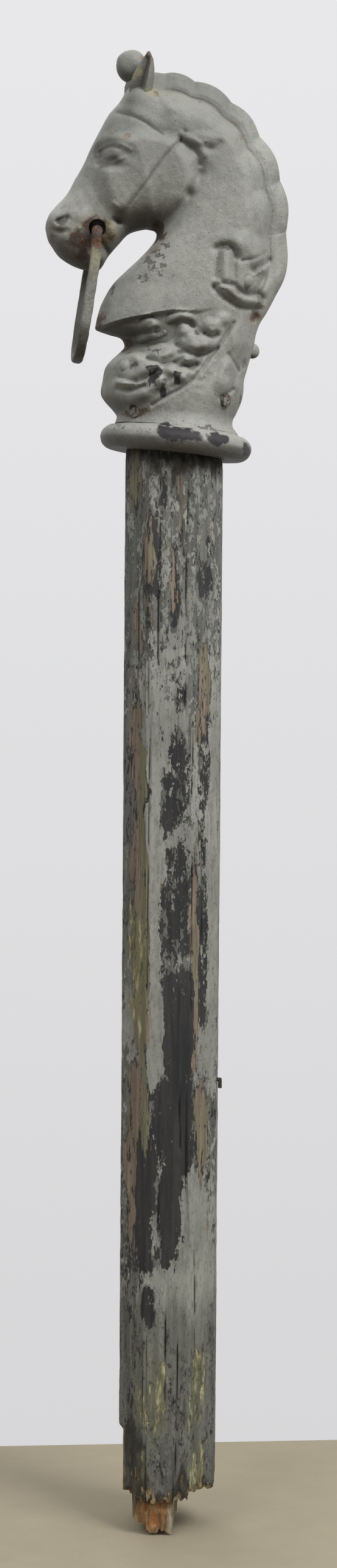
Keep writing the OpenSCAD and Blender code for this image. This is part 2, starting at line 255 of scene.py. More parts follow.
# %% Sections of the head
# outer x, outer z, inner x, inner z, half thickness, thinning along the mane
SECTIONS = np.array([
    (-158, 226, -158, 218, 8, 0), (-155.5, 234, -154.5, 207.5, 17, 0), (-150, 242, -150, 201, 21.5, 0),
    (-142, 252.5, -139.5, 190, 25, 0), (-137.5, 260.5, -121, 182, 27, 0), (-133, 272, -100, 181, 28, 0),
    (-129, 280.5, -90, 197.5, 29, 0), (-124.5, 291.5, -81, 210.5, 32, 0), (-120, 305.5, -71, 223, 36, 0),
    (-111.5, 327, -55.5, 229.5, 40, 0), (-104.5, 343, -48.5, 229.5, 43, 0), (-95, 356.5, -45, 229, 45, 0),
    (-85, 376, -43.5, 228, 45, 0), (-68, 390, -42.6, 227, 45, 0.4), (-52, 392, -42.2, 226.2, 45, 1),
    (-36, 390.5, -42, 225.4, 45, 1), (-19, 388, -42, 224.6, 46, 1), (2.5, 381, -42.1, 223.7, 47, 1),
    (22, 370.5, -42.3, 222.5, 48, 1), (40, 356.5, -42.8, 220.5, 49, 1), (55, 339, -44.8, 216.5, 50, 1),
    (70, 318.5, -50, 208.5, 51, 1), (81, 296, -59.5, 196.5, 52, 1), (89, 270.5, -71, 183.5, 53, 1),
    (93, 243, -83, 168.5, 54, 1), (97.5, 217, -91.5, 150, 55, 1), (96, 196, -94.5, 138, 56, 0.8),
    (88, 175, -96, 127, 57, 0.5), (81, 158, -95, 120.5, 57, 0.3), (75, 146, -82, 117, 56, 0.1),
    (72, 134, -69, 114.5, 55, 0), (71, 122, -64, 107, 56, 0), (68.5, 108, -68, 100, 57, 0),
    (66.5, 97, -76, 91, 58.5, 0), (64.5, 85, -81.5, 82, 60, 0), (65, 72, -83, 68, 61, 0),
    (63.5, 61, -83.5, 56, 61, 0), (60, 50, -79, 48.5, 60, 0), (57, 42, -68.5, 39, 58.5, 0),
    (57.5, 35.5, -64.5, 34, 59.5, 0), (61.5, 30.5, -65, 29, 62, 0), (65, 25.5, -66, 25, 64.5, 0),
    (65, 17, -66, 17, 64.5, 0),
])
LAST = len(SECTIONS) - 1


def section(s):
    """Sections at any place along the strip: a smooth cubic through the four nearest listed ones."""
    k = np.minimum(np.floor(s).astype(int), LAST - 1)
    t = (s - k)[:, None]
    a, b = SECTIONS[np.maximum(k - 1, 0)], SECTIONS[k]
    c, d = SECTIONS[k + 1], SECTIONS[np.minimum(k + 2, LAST)]
    bend, twist = 2 * a - 5 * b + 4 * c - d, 3 * b - a - 3 * c + d
    return 0.5 * (2 * b + (c - a) * t + bend * t**2 + twist * t**3)


print("sections:", len(SECTIONS), "from the nose to the collar")

# %% [markdown]
# The rows of the skin could follow the listed sections evenly, but then they would crowd at the throat
# and gape over the crest. Here they are spread by the length of both edges together. Across a row the
# points lie closer near the two edges, where the side turns fastest into the seam.

# %% Rows and columns of the skin
ROWS, COLUMNS = 372, 186
SKIN_END = 40.7
along = np.linspace(0, SKIN_END, 4000)
edge = section(along)
outer_stride = np.linalg.norm(np.diff(edge[:, :2], axis=0), axis=1)
inner_stride = np.linalg.norm(np.diff(edge[:, 2:4], axis=0), axis=1)
run = np.concatenate([[0], np.cumsum(outer_stride + inner_stride + 0.02)])
places = np.interp(np.linspace(0, run[-1], ROWS), run, along)
pace = np.minimum(1, 2.5 * np.sin(np.pi * (np.arange(COLUMNS) + 0.5) / COLUMNS))
shares = np.concatenate([[0], np.cumsum(pace)]) / pace.sum()
print("outer edge", round(outer_stride.sum()), "mm long")

# %% [markdown]
# ## Relief on the sides
# The pattern maker carved the face, the bridle, the bow and the garland into each side of the
# pattern. They could be sculpted, but here they are heights over the side view: mounds for full forms,
# bands for straps and ribbons, and grooves where one form tucks under the next. Lists of real places
# and sizes are easy to correct one by one. Thick old paint has softened them all.

# %% Mounds of the face, the bow and the garland
# centre x, centre z, half sizes, turn in degrees, rise, steepness of the edge
MOUNDS = [
    (-62, 277, 56, 52, 0, 7, 3), (-7, 290, 15, 14, 0, -4, 1), (-78, 362, 26, 16, 0, 3, 1),
    (-93, 312, 24, 10, -10, 3.4, 1), (-108, 298, 20, 17, 25, -8.5, 1), (-97, 285, 20, 9, 0, -4, 1),
    (-82, 296, 12, 10, 0, -2, 1), (-101, 298, 11.5, 9.5, 0, 6.4, 1.25), (-147, 226, 15, 13, 20, 3, 1.2),
    (-143, 218, 10, 6, 10, 2, 1), (-104, 192, 16, 9, 0, 2, 1), (-89, 219, 8, 12, 0, 3.4, 1.2),
    (-84, 231.5, 6, 4.5, 0, -4, 1.2), (-97, 190.5, 8, 8, 0, 3, 1.2), (-119, 208, 6, 5, 0, -3.5, 1.2),
    (-124, 232, 16, 12, 0, 2, 1), (-8, 321, 20, 10, 8, 4, 1.4), (48, 218, 33, 17, -8, 4, 1.2),
    (53.5, 184, 10, 10, 0, 5, 1.5), (55, 184.5, 4, 4, 0, -3, 1.2), (66, 203, 19, 13, -45, 3.5, 1.5),
    (75, 181, 8, 15, -20, 4, 1.2), (66, 150, 8, 9, 0, -6, 1.2), (-44, 127, 15, 12.5, 0, 11, 1.3),
    (-36, 123, 6, 4.5, 20, -5, 1), (-14, 136, 18, 11, 8, 9, 1.3), (-8, 124, 13, 9, 0, 6, 1.2),
    (20, 130, 14, 12, 0, 8, 1.3), (31, 140, 13, 9, 20, 4, 1.2), (6, 112, 25, 13, 12, 11, 1.4),
    (-28, 100.5, 21, 11, 12, 11, 1.4), (-3, 95.5, 14, 9, 10, 9, 1.3), (-17, 82, 11, 9, 0, 8, 1.3),
    (-5, 78, 12, 10, 35, 8, 1.3), (-38, 83, 17, 10, 18, 7, 1.2), (-57, 92, 18, 12, 10, 8, 1.1),
    (-26, 70, 20, 13, 35, 7, 1.1), (-50, 76, 18, 11, 12, 6, 1), (-44, 56, 20, 12, 30, 6, 1),
    (-66, 64, 16, 9, 8, 5, 1), (50, 125, 13, 26, 5, 3.5, 1.5), (40, 83, 13, 27, -14, 5.5, 1.4),
    (60, 99, 5, 9, -10, -5, 1.2), (56, 78, 6, 16, -6, 3, 1),
]
print("mounds:", len(MOUNDS))

# %% [markdown]
# The bridle's straps, the ribbons of the bow and the lids of the eye are raised lines of even width, and
# the cuts beside them make them stand out. Curves with a bevel could lie on the side, but they would
# float or sink where it bends. As heights over the side view they always follow it.

# %% Straps, ribbons and grooves
# bands: half width, rise, steepness of the edge, points of the middle line
BANDS = [
    (7, 0.9, 1.2, [(-102, 350), (-93, 347), (-78, 342), (-64, 336), (-50, 330)]),
    (7, 1.4, 1.2, [(-36, 320), (-43, 309), (-57, 286), (-70, 264), (-83, 243)]),
    (5.5, 2.2, 1.2, [(-31, 323), (-20, 318.5), (-11, 313), (-5, 305)]),
    (6, 2, 1.4, [(-41, 342), (-50, 357), (-58, 372)]),
    (3.2, 1.5, 1, [(-114, 297), (-111, 303), (-105, 307), (-98, 307.5), (-90, 305), (-81, 301)]),
    (2.8, 0.9, 1, [(-110, 291), (-102, 287), (-94, 288.5), (-86, 293)]),
    (3.2, 1.6, 1, [(-93, 247), (-84, 242), (-77, 246)]),
    (8, 4.6, 1.1, [(26.5, 209), (27.5, 191), (29.5, 178)]),
    (6.4, 5.4, 1.15, [(24, 174.5), (31, 172), (40, 166), (51, 162.7), (66, 164.3), (74, 165)]),
    (3, 2.5, 1.2, [(48.5, 183), (49.5, 180), (53, 177), (58, 177.6), (62.5, 181)]),
    (2.6, 2.4, 1.2, [(57, 189), (64, 193.5), (72, 200), (77.5, 207)]),
    (4.8, 6, 1.3, [(-48, 113.5), (-40, 115), (-34, 117), (-27, 120.5)]),
    (2.2, 1.6, 1, [(61, 154), (64, 130), (66, 110)]),
    (3.4, 3, 1.2, [(-70, 65), (-60, 63.5), (-50, 64), (-43, 67)]),
]
# grooves: width, depth, points of the line
GROOVES = [
    (1.8, 2.2, [(-98, 342.5), (-93.7, 341), (-84, 338), (-77.5, 335.6), (-68, 331.6), (-61, 326.6),
        (-51, 321)]),
    (1.8, 2.4, [(-27.7, 326.6), (-31, 317), (-38, 308), (-44.4, 299.3), (-51.6, 288), (-58, 276.3),
        (-64.6, 265), (-71, 254.2), (-75, 247.8), (-79, 241.7), (-81, 236)]),
    (2.8, 3, [(-30, 317.4), (-23, 314), (-15.4, 309.6), (-10.5, 303.5), (-8.5, 296)]),
    (3, 2.6, [(1, 311.5), (6, 313), (9.5, 319)]),
    (5.5, 5, [(-46, 231), (-37, 232.5), (-30, 238.5), (-22, 251.5), (-16, 264.4)]),
    (4.5, 3.4, [(-16, 264.4), (-9.3, 278), (-7, 286)]),
    (1.6, 1.6, [(-112, 299), (-107, 303.4), (-100, 304.4), (-92, 302.4)]),
    (3.1, 5, [(-146.5, 224.2), (-142.5, 226.8), (-138.5, 228.4)]),
    (3.2, 1.6, [(-149, 215), (-143, 213), (-137, 215)]),
    (2.6, 4, [(-99.5, 208), (-95, 203), (-89, 197.5)]),
    (3, 3, [(-88, 233), (-80, 230.5), (-72, 229)]),
    (3.8, 5.6, [(16.5, 211.5), (21, 213.6), (27, 215), (32.7, 213.6), (36.7, 209.5), (38.3, 205.5)]),
    (2.4, 2.6, [(18.6, 206), (18.4, 195), (18, 182)]),
    (2.6, 2.6, [(36, 199), (37.5, 191), (39, 183)]),
    (1.8, 2.2, [(44, 201.5), (57.8, 206), (66, 212), (72, 218)]),
    (4.2, 6.5, [(58, 194.5), (63, 198.8), (71.5, 205.5), (76.5, 212)]),
    (2.8, 4.6, [(17.5, 172.5), (30, 176.4), (39.7, 177), (45.5, 172), (55, 170.4), (66, 173.6),
        (71, 172.8), (76, 166)]),
    (3, 3.6, [(19.5, 169.5), (29, 163), (40.4, 157.2), (49, 155), (58.7, 156.2), (68, 159.4)]),
    (2.8, 5, [(-58, 107.5), (-45, 109.3), (-35, 111), (-25, 115.4), (-20.5, 119.5)]),
    (3, 7, [(-19, 127.5), (-15.5, 131), (-11, 133), (-3, 133.3), (0.5, 130.5)]),
    (2.8, 5, [(14.5, 123.4), (18, 121), (21.5, 120.6), (26, 124.3)]),
    (2.2, 3.6, [(-13.5, 109), (-4.6, 103.6), (-0.2, 101), (7.8, 99.3), (17, 102.6), (28.5, 110)]),
    (2.4, 4.4, [(-43, 92.2), (-31.5, 88), (-23.7, 87), (-13.6, 90.6), (-9, 94)]),
    (2.6, 5, [(-4, 89.6), (3.3, 87.6), (8, 90.6)]),
    (1.8, 2, [(-12, 86), (-11, 79), (-12, 72)]),
    (2.6, 3, [(-68, 71.6), (-60, 69), (-52, 68.2)]),
    (3, 4.4, [(-69, 59.4), (-59, 57.8), (-50.5, 59), (-43, 62.8)]),
    (2, 3.2, [(43, 138.7), (36.4, 126.6), (33, 118), (26.8, 107.8), (21, 99.5), (16, 89.3),
        (8.7, 78.8), (1.7, 70), (-7, 62.8), (-16, 57.3), (-23, 51.8), (-33, 44.8)]),
    (2, 3, [(41, 106), (46, 100), (50.5, 95.6), (55.6, 91)]),
    (2.2, 3.4, [(37.5, 60.5), (41, 62.4), (45, 66.3), (50, 71.4)]),
]
print("bands:", len(BANDS), "grooves:", len(GROOVES))

# %% [markdown]
# The three lists become one height. Each form could be a mesh of its own that is joined to the head, but
# the joins would show. As heights, mounds add up, as clay does. Of two bands the higher one counts, as
# where a strap crosses a ribbon, and grooves cut into them. The chest is set back under the neck's edge,
# and the rivets get a level seat. One function of x and z does it, so any point of the side can ask.

# %% Relief
# lower edge of the neck, under which the chest is set back
LEDGE = np.array([
    (-100, 119), (-89.5, 123.5), (-81, 127), (-68, 131.5), (-54.6, 135.2), (-39.4, 139.5), (-21.6, 144.3),
    (-4, 145.4), (4, 146), (13, 149), (24, 153),
])
CHEST_BACK = 13
# rough bed of the garland: centre x, centre z, half sizes
BED_X, BED_Z, BED_WIDE, BED_TALL = -18, 96, 62, 50
# flat round each rivet's head, and the paint heaped over the one at the poll
RIVET_FLAT, POLL_PAINT, POLL_PAINT_R = 11, 2.2, 15


def relief(x, z):
    """Height of the carving over the plain side: the sum of the mounds, the highest band, and the
    grooves, each fading with its distance, less the set-back of the chest under the neck's edge."""
    height = np.zeros(x.shape)
    for cx, cz, wide, tall, turn, rise, steep in MOUNDS:
        cosine, sine = math.cos(math.radians(turn)), math.sin(math.radians(turn))
        u = (x - cx) * cosine + (z - cz) * sine
        v = (z - cz) * cosine - (x - cx) * sine
        height += rise * smooth((1 - np.hypot(u / wide, v / tall)) * steep)
    band = np.zeros(x.shape)
    for half, rise, steep, line in BANDS:
        band = np.maximum(band, rise * smooth(steep * (1 - to_line(x, z, line) / half)))
    for width, depth, line in GROOVES:
        band -= depth * np.exp(-((to_line(x, z, line) / width) ** 2))
    at = np.stack([x, 0 * x, z], -1)
    bed = smooth(2.2 * (1 - np.hypot((x - BED_X) / BED_WIDE, (z - BED_Z) / BED_TALL)))
    band += bed * (1.7 * noise(at, 10, 7) + 1.1 * noise(at, 5, 8))
    for cx, cz in rivet_spots.values():
        level = np.exp(-((np.hypot(x - cx, z - cz) / RIVET_FLAT) ** 4))
        height, band = height * (1 - level), band * (1 - level)
    cx, cz = rivet_spots["poll_rivet"]
    height += POLL_PAINT * np.exp(-((np.hypot(x - cx, z - cz) / POLL_PAINT_R) ** 4))
    under = smooth((np.interp(x, *LEDGE.T) - z) / 3.5)
    return height + band - CHEST_BACK * under * smooth((z - 88) / 16) * smooth((30 - x) / 80)


print("relief at the eye:", relief(np.array([-101.0]), np.array([298.0])).round(1), "mm")

# %% [markdown]
# ## The skin
# The relief is laid on the plain side of the strip. It could be left to a bump in the paint, but then
# the head would be flat from the front. The mane is a flatter plate along the crest, with scalloped
# locks on its edge, and the seam where the halves meet is a shallow groove. A smooth surface would look
# like moulded plastic, so the skin has a little unevenness, as sand castings do.

# %% The skin of one half
MANE_FIRST, MANE_LAST, MANE_WIDTH, MANE_HALF = 14, 24, 22, 12
LOBE_RISE, SWELL_POWER = 3.5, 2.2


def skin(s, t, side):
    """Points of a half's skin: across each section the thickness follows the root of one less a power
    of the distance from its middle, thinned along the mane, plus the relief and a casting's unevenness."""
    q = section(s)[:, None, :]
    t = t[None, :]
    across = q[..., 2:4] - q[..., :2]
    length = np.linalg.norm(across, axis=-1, keepdims=True)
    wave = np.abs(np.sin(np.pi / 2 * (s - MANE_FIRST)))
    inside = (s > MANE_FIRST) & (s < MANE_LAST)
    lobe = np.where(inside, LOBE_RISE * wave, 0)[:, None]
    # the plain side with its carving, which fades out at the seam
    power = SWELL_POWER - 0.2 * smooth((s - 38.5) / 2)[:, None]
    swell = np.sqrt(np.maximum(0, 1 - np.abs(2 * t - 1) ** power))
    firm = np.minimum(1, 2 * swell)
    thin = 1 - q[..., 5] * 0.6 * (1 - smooth((t - 0.05) / 0.24))
    p = q[..., :2] + across * t[..., None] - ((1 - t) * lobe)[..., None] * across / length
    y = q[..., 4] * swell * thin + relief(p[..., 0], p[..., 1]) * firm
    # the mane's plate, the groove along its foot and the flutes between its locks
    deep = t * length[..., 0] - MANE_WIDTH
    mane = smooth((s - 12.5) / 2.5) * smooth((27.5 - s) / 3)
    plate = np.minimum(y, MANE_HALF + 0.12 * (y - MANE_HALF)) - y
    crest = 6 * smooth(deep / 14) * np.exp(-((np.maximum(deep, 0) / 46) ** 2))
    crest = crest - 1.8 * np.exp(-((deep / 1.8) ** 2))
    y = y + mane[:, None] * (plate * smooth(0.5 - deep / 4) + crest * firm)
    flute = np.where(inside, wave, 1)[:, None]
    y = y - 2.2 * (1 - flute) ** 3 * q[..., 5] * smooth(1 - t / 0.13) * np.minimum(1, 3 * swell)
    # unevenness of the casting, and the groove where the halves meet
    at = np.stack([p[..., 0], side * y, p[..., 1]], -1)
    y = y + firm * (0.55 * noise(at, 24, 1) + 0.25 * noise(at, 7, 2) + 0.1 * noise(at, 2.6, 3))
    y = np.maximum(y, 0) * (t > 0) * (t < 1)
    groove = (0.9 + 0.5 * noise(at, 15, 4)) * np.exp(-((y / 1.1) ** 2)) * np.where(t < 0.5, 1, -1)
    p = p + groove[..., None] * across / length
    return np.stack([p[..., 0], y, p[..., 1]], -1)


probe = skin(np.array([10.0]), np.array([0.5]), 1)[0, 0]
print("half thickness at the cheek:", round(probe[1], 1), "mm")

# %% [markdown]
# ## The collar, the socket and the hollow
# Below the neck the skin runs out over the collar's half-round edge and under it, then up the socket
# that the post's tenon fills. Above the tenon the casting is hollow, with a flat face along the seam
# where the two halves meet. The collar could be a ring of its own and the hollow a cut, but with all of
# it in one sheet of rows, each half closes like the real one.

# %% Rows of the collar and the socket
COLLAR_R, COLLAR_EDGE, SOCKET_R = 67.5, 12.5, 42.5
roll = np.radians(np.linspace(80, -90, 26))
profile = np.concatenate([
    [(64.6, 26.6), (65.8, 25.7), (67.4, 25.15)],
    np.stack([COLLAR_R + COLLAR_EDGE * np.cos(roll), COLLAR_EDGE + COLLAR_EDGE * np.sin(roll)], 1),
    [(60, 0), (50, 0), (SOCKET_R, 0), (SOCKET_R, 4), (SOCKET_R, 40), (SOCKET_R, 80), (SOCKET_R, 104)],
])


def ring_rows(side):
    """Half rings of the collar and the socket: radius and height from the profile, turned through half
    a circle, with the collar worn a little."""
    r, z = profile[:, :1], profile[:, 1:]
    x = r * (1 - 2 * shares)
    y = r * np.sqrt(np.maximum(0, 1 - (2 * shares - 1) ** 2))
    at = np.stack([x, side * y, z + 0 * x], -1)
    worn = 0.5 * noise(at, 18, 5) + 0.35 * noise(at, 6, 6) - 0.7
    worn = worn * ((r > SOCKET_R + 1) & (z > 0.5))
    outer_r = COLLAR_R + COLLAR_EDGE
    return np.stack([x * (1 + worn / outer_r), y * (1 + worn / outer_r), z - 0.4 * np.abs(worn)], -1)


print("collar", 2 * (COLLAR_R + COLLAR_EDGE), "mm across,", len(profile), "half rings")

# %% [markdown]
# A hollow casting is lighter and cools more evenly. The hollow could be cut out with a solid tool, but
# the wall would then be hard to control. Here its rows follow the same sections, drawn in by the wall.
# They go on from the socket's rows, so the half is one sheet that closes at the nose and the seam.

# %% Rows of the hollow, and one half
WALL, SEAM, HOLLOW_MANE = 9, 14, 26
HOLLOW_FIRST, HOLLOW_LAST = 31, 9
NOSE_TIP = (-158.4, 0, 222)


def hollow_rows():
    """Inside of the casting: each section drawn in by the seam at its edges and by the wall at its side."""
    q = section(np.arange(HOLLOW_FIRST, HOLLOW_LAST - 0.5, -1))[:, None, :]
    across = q[..., 2:4] - q[..., :2]
    unit = across / np.linalg.norm(across, axis=-1, keepdims=True)
    start = q[..., :2] + unit * (SEAM + q[..., 5:6] * HOLLOW_MANE)
    end = q[..., 2:4] - unit * SEAM
    p = start + (end - start) * shares[None, :, None]
    swell = np.sqrt(np.maximum(0, 1 - np.abs(2 * shares - 1) ** SWELL_POWER))
    rows = np.stack([p[..., 0], np.maximum(0, q[..., 4] - WALL) * swell, p[..., 1]], -1)
    return np.concatenate([rows, rows[-1:] * (1, 0, 1)])


def half_sheet(side):
    """Points and faces of one half: the skin, the collar, the socket and the hollow as one run of rows,
    a point at the nose, and three flat faces on the seam."""
    rows = np.concatenate([skin(places, shares, side), ring_rows(side), hollow_rows()])
    count, width = rows.shape[:2]
    nose = count * width
    points = np.concatenate([rows.reshape(-1, 3), [NOSE_TIP]]) * (1, side, 1)
    left = np.arange(count) * width
    right = left + width - 1
    split = int(np.searchsorted(places, HOLLOW_LAST))
    ring = np.arange(left[-1], right[-1] + 1)
    around = np.concatenate([left[: split + 1], ring, right[split::-1], [nose]])
    flat = [around.tolist(), left[split:].tolist(), right[split:].tolist()]
    return points, grid_faces(count, width) + fan(nose, np.arange(width)) + flat


points, faces = half_sheet(-1)
print("one half:", len(points), "points,", len(faces), "faces")

# %% [markdown]
# ## Ears, forelock and tassel
# The ears stand on the poll as pointed leaves with a scooped hollow. Between them the forelock is tied
# up in a round bob, and a small knob ends the tassel at the back of the neck. They were carved as
# separate bits of the pattern and cast in one with each half. They could be left as loose pieces, but a
# line would show at the root, so they are shaped alone and fused.

# %% Ears
# rings of an ear: height, centre x, centre y, half width, half depth
EAR = np.array([
    (350, -75, 14, 9.5, 9), (361, -76, 20, 11, 10.5), (371, -75.8, 24, 12.2, 10),
    (381, -74.4, 26.5, 11.2, 9), (390, -73, 28, 9, 7), (399, -71.5, 28.5, 5.5, 4.5),
    (406.6, -71.5, 29, 1.2, 1.2),
])
EAR_FACING = math.radians(128)
SCOOP_LOW, SCOOP_HIGH, SCOOP_EASE = 359, 405, 9


def ear_mesh():
    """Rings up the ear, each an ellipse whose outer front is pressed in between two rims."""
    z = np.linspace(EAR[0, 0], EAR[-1, 0], 46)
    cx, cy, half, depth = (np.interp(z, EAR[:, 0], EAR[:, k])[:, None] for k in range(1, 5))
    a = np.radians(np.arange(0, 360, 6))[None, :]
    off = np.abs((a - EAR_FACING + np.pi) % (2 * np.pi) - np.pi)
    open_share = smooth((z - SCOOP_LOW) / SCOOP_EASE) * smooth((SCOOP_HIGH - z) / SCOOP_EASE)
    press = 1 - 1.25 * (open_share[:, None] * smooth((1.12 - off) / 0.42))
    x, y = cx + half * press * np.cos(a), cy + depth * press * np.sin(a)
    return tube(np.stack([x, y, z[:, None] + 0 * a], -1))


ear = ear_mesh()
print("ear:", len(ear[0]), "points")

# %% [markdown]
# The forelock and the tassel are turned forms, like a knob from a lathe. Blender's Spin tool could turn
# them. Sweeping a list of radii through half a circle does the same, and gives each half its own part
# with a flat back that lies on the seam.

# %% Forelock and tassel
FORELOCK_R, FORELOCK_MIDDLE, KNOB_R = 17, 36.14, 8


def bulb_mesh(root, tip, heights, radii):
    """Half of a turned form on the line from root to tip: a radius for each height, swept through half
    a circle and made slightly uneven."""
    root, tip = np.array(root, float), np.array(tip, float)
    axis = (tip - root) / np.linalg.norm(tip - root)
    across = np.array([axis[2], 0, -axis[0]])
    h = np.linspace(heights[0], heights[-1], 44)
    a = np.radians(np.linspace(0, 180, 41))
    ring = np.cos(a)[:, None] * across + np.sin(a)[:, None] * np.array([0, 1, 0])
    wide = np.interp(h, heights, radii)[:, None, None] * ring[None]
    middle = h[:, None, None] * axis
    rows = root + middle + wide * (0.97 + 0.06 * noise(wide + middle, 11, 61)[..., None])
    rows[:, :, 1] = np.maximum(rows[:, :, 1], 0) * (ring[None, :, 1] > 1e-6)
    count, width = rows.shape[:2]
    left = np.arange(count) * width
    back = np.concatenate([left, (left + width - 1)[::-1]]).tolist()
    return rows.reshape(-1, 3), grid_faces(count, width) + [back] + end_caps(count, width)


ball = np.radians(np.linspace(-62, 88, 30))
forelock_h = np.concatenate([[0, 8, 16], FORELOCK_MIDDLE + FORELOCK_R * np.sin(ball)])
forelock_r = np.concatenate([[14, 12.6, 11.2], FORELOCK_R * np.cos(ball)])
order = np.argsort(forelock_h)
forelock = bulb_mesh((-77, 0, 360), (-86, 0, 395), forelock_h[order], forelock_r[order])
knob = np.radians(np.linspace(-89, 89, 30))
tassel = bulb_mesh((70, 0, 117), (71, 0, 116), KNOB_R * np.sin(knob), KNOB_R * np.cos(knob))
print("forelock:", len(forelock[0]), "points, tassel:", len(tassel[0]), "points")

# %% [markdown]
# ## Joining and drilling
# Blender's solid tools fuse these bits to the skin and cut the same holes that the exact casting has:
# the bore through the mouth that the link swings in, the seats of the four tie rivets, and the holes
# and seats of the screws that hold the head on the tenon. The holes could be left out, since the
# fittings hide most of them, but the bore is seen and the pieces must not cut into each other.

# %% Drills


def cylinder(start, direction, radius, length, sides=40):
    """A drill: two rings along a direction with flat ends."""
    w = np.array(direction, float) / np.linalg.norm(direction)
    u = np.cross(w, (0, 0, 1) if abs(w[2]) < 0.9 else (1, 0, 0))
    u = u / np.linalg.norm(u)
    a = 2 * np.pi * np.arange(sides)[:, None] / sides
    ring = np.array(start, float) + radius * (np.cos(a) * u + np.sin(a) * np.cross(w, u))
    return tube(np.stack([ring, ring + length * w]))


DOME_R, DOME_HEIGHT, DOME_ROOM = 7, 3.5, 0.12


def dome_seat(spot, side, top):
    """The space of a rivet's low dome with a hair's breadth round it: rings up a part of a ball."""
    bend = (DOME_R**2 + DOME_HEIGHT**2) / (2 * DOME_HEIGHT)
    rise = np.array([0, 0.8, 1.6, 2.4, 3, 3.4, 3.6])
    r = np.sqrt(np.maximum(0.01, (bend + DOME_ROOM) ** 2 - (bend - DOME_HEIGHT + rise) ** 2))[:, None]
    a = np.radians(np.arange(0, 360, 9))[None, :]
    y = side * (top - DOME_HEIGHT + rise)[:, None] + 0 * a
    return tube(np.stack([spot[0] + r * np.cos(a), y, spot[1] + r * np.sin(a)], -1))


print("seat of a rivet:", len(dome_seat((0, 0), 1, 50)[0]), "points")

# %% [markdown]
# Each half is the sheet, with the ear and its half of the two bulbs fused on, and then drilled. The
# meshes could simply overlap, but one closed skin can be weighed, printed and painted without a break.
# Blender has three solvers for this. The manifold one is used, because it is fast and sure on closed
# meshes.

# %% Make both halves
MOUTH, MOUTH_R = (-106, 221.5), 9
LINK_AXIS = np.array([-106, 0, 218.9])
# inside the bore a thin web is left at the seam, close round the link's bar
WEB, WEB_R = 14, 6.2
# screws on each side: direction in degrees from the back, height, distance of the seat from the middle
SCREWS = [(45, 59, 59), (140, 37, 61)]
SCREW_HOLE_R, SCREW_SEAT_R, RIVET_HOLE_R = 3, 6.9, 4.5


def combine(mesh, other, operation):
    """Fuses another closed form to a mesh, or cuts it away."""
    carrier = bpy.data.objects.new("carrier", mesh)
    tool = bpy.data.objects.new("tool", make_mesh("tool", *other))
    for helper in (carrier, tool):
        bpy.context.scene.collection.objects.link(helper)
    change = carrier.modifiers.new("solid", "BOOLEAN")
    change.operation, change.solver, change.object = operation, "MANIFOLD", tool
    graph = bpy.context.evaluated_depsgraph_get()
    result = bpy.data.meshes.new_from_object(carrier.evaluated_get(graph))
    bpy.data.objects.remove(carrier)
    bpy.data.objects.remove(tool)
    return result


def casting(name, side):
    """One half with its ear, its half of the forelock and the tassel, and all its holes."""
    mesh = make_mesh(name, *half_sheet(side))
    for extra_points, extra_faces in (ear, forelock, tassel):
        mesh = combine(mesh, (extra_points * (1, side, 1), extra_faces), "UNION")
    drills = [cylinder((MOUTH[0], side * WEB, MOUTH[1]), (0, side, 0), MOUTH_R, 60),
              cylinder((LINK_AXIS[0], -side, LINK_AXIS[2]), (0, side, 0), WEB_R, 60)]
    for low, high in rivet_boxes.values():
        middle = (low + high) / 2
        drills.append(cylinder((middle[0], -side, middle[2]), (0, side, 0), RIVET_HOLE_R, high[1] - 4))
        drills.append(dome_seat(middle[[0, 2]], side, high[1]))
    for angle, height, seat in SCREWS:
        x, y = math.cos(math.radians(angle)), side * math.sin(math.radians(angle))
        drills.append(cylinder((20 * x, 20 * y, height), (x, y, 0), SCREW_HOLE_R, 50))
        drills.append(cylinder((seat * x, seat * y, height), (x, y, 0), SCREW_SEAT_R, 30))
    for drill in drills:
        mesh = combine(mesh, drill, "DIFFERENCE")
    return mesh


halves = {"left": casting("iron_head_left", -1), "right": casting("iron_head_right", 1)}
for key, mesh in halves.items():
    print(key, "half:", len(mesh.vertices), "vertices,", len(mesh.polygons), "faces")

# %% [markdown]
# ## Where the paint has gone
# The head has many coats of grey-green paint. Rust bleeds from the mouth, the throat, the seam and
# the screws, the last coat has flaked off the collar and the neck down to an old black one, and the
# hollows and undersides are darkened with painted shade and some grime. An image could be painted for
# this. Numbers per vertex, placed as on the object, need no image and follow the shape, so the paint reads
# those.

# %% Spots of wear on the head
# centre x, centre z, half sizes, strength
RUST = [
    (-108, 219, 14, 12, 0.8), (-94, 216, 7, 9, 0.6), (-121, 208, 15, 13, 0.72), (-124, 193, 15, 13, 0.5),
    (-42, 225, 7, 10, 0.75), (-52, 205, 12, 10, 0.4), (-108, 183, 18, 7, 0.5), (-96, 128, 8, 14, 0.6),
    (-152, 212, 10, 14, 0.35), (-150, 200, 20, 8, 0.3), (44, 59, 4, 4, 0.5), (43, 52, 3, 5, 0.34),
    (-46, 37, 15, 5, 0.62), (-64, 108, 7, 9, 0.6), (66, 149, 7, 8, 0.62), (-88, 313, 2.5, 3.5, 0.5),
    (-103, 318, 2.5, 3.5, 0.42), (-70, 397, 4, 12, 0.55), (-72, 404, 7, 8, 0.5), (96, 250, 5, 20, 0.4),
    (31.5, 331.5, 4, 5, 0.5), (-13.5, 363, 2.5, 2.5, 0.45), (-58, 364, 4, 3, 0.5),
    (18.7, 345.5, 2.5, 3, 0.42), (-119, 195, 6, 11, 0.7),
]
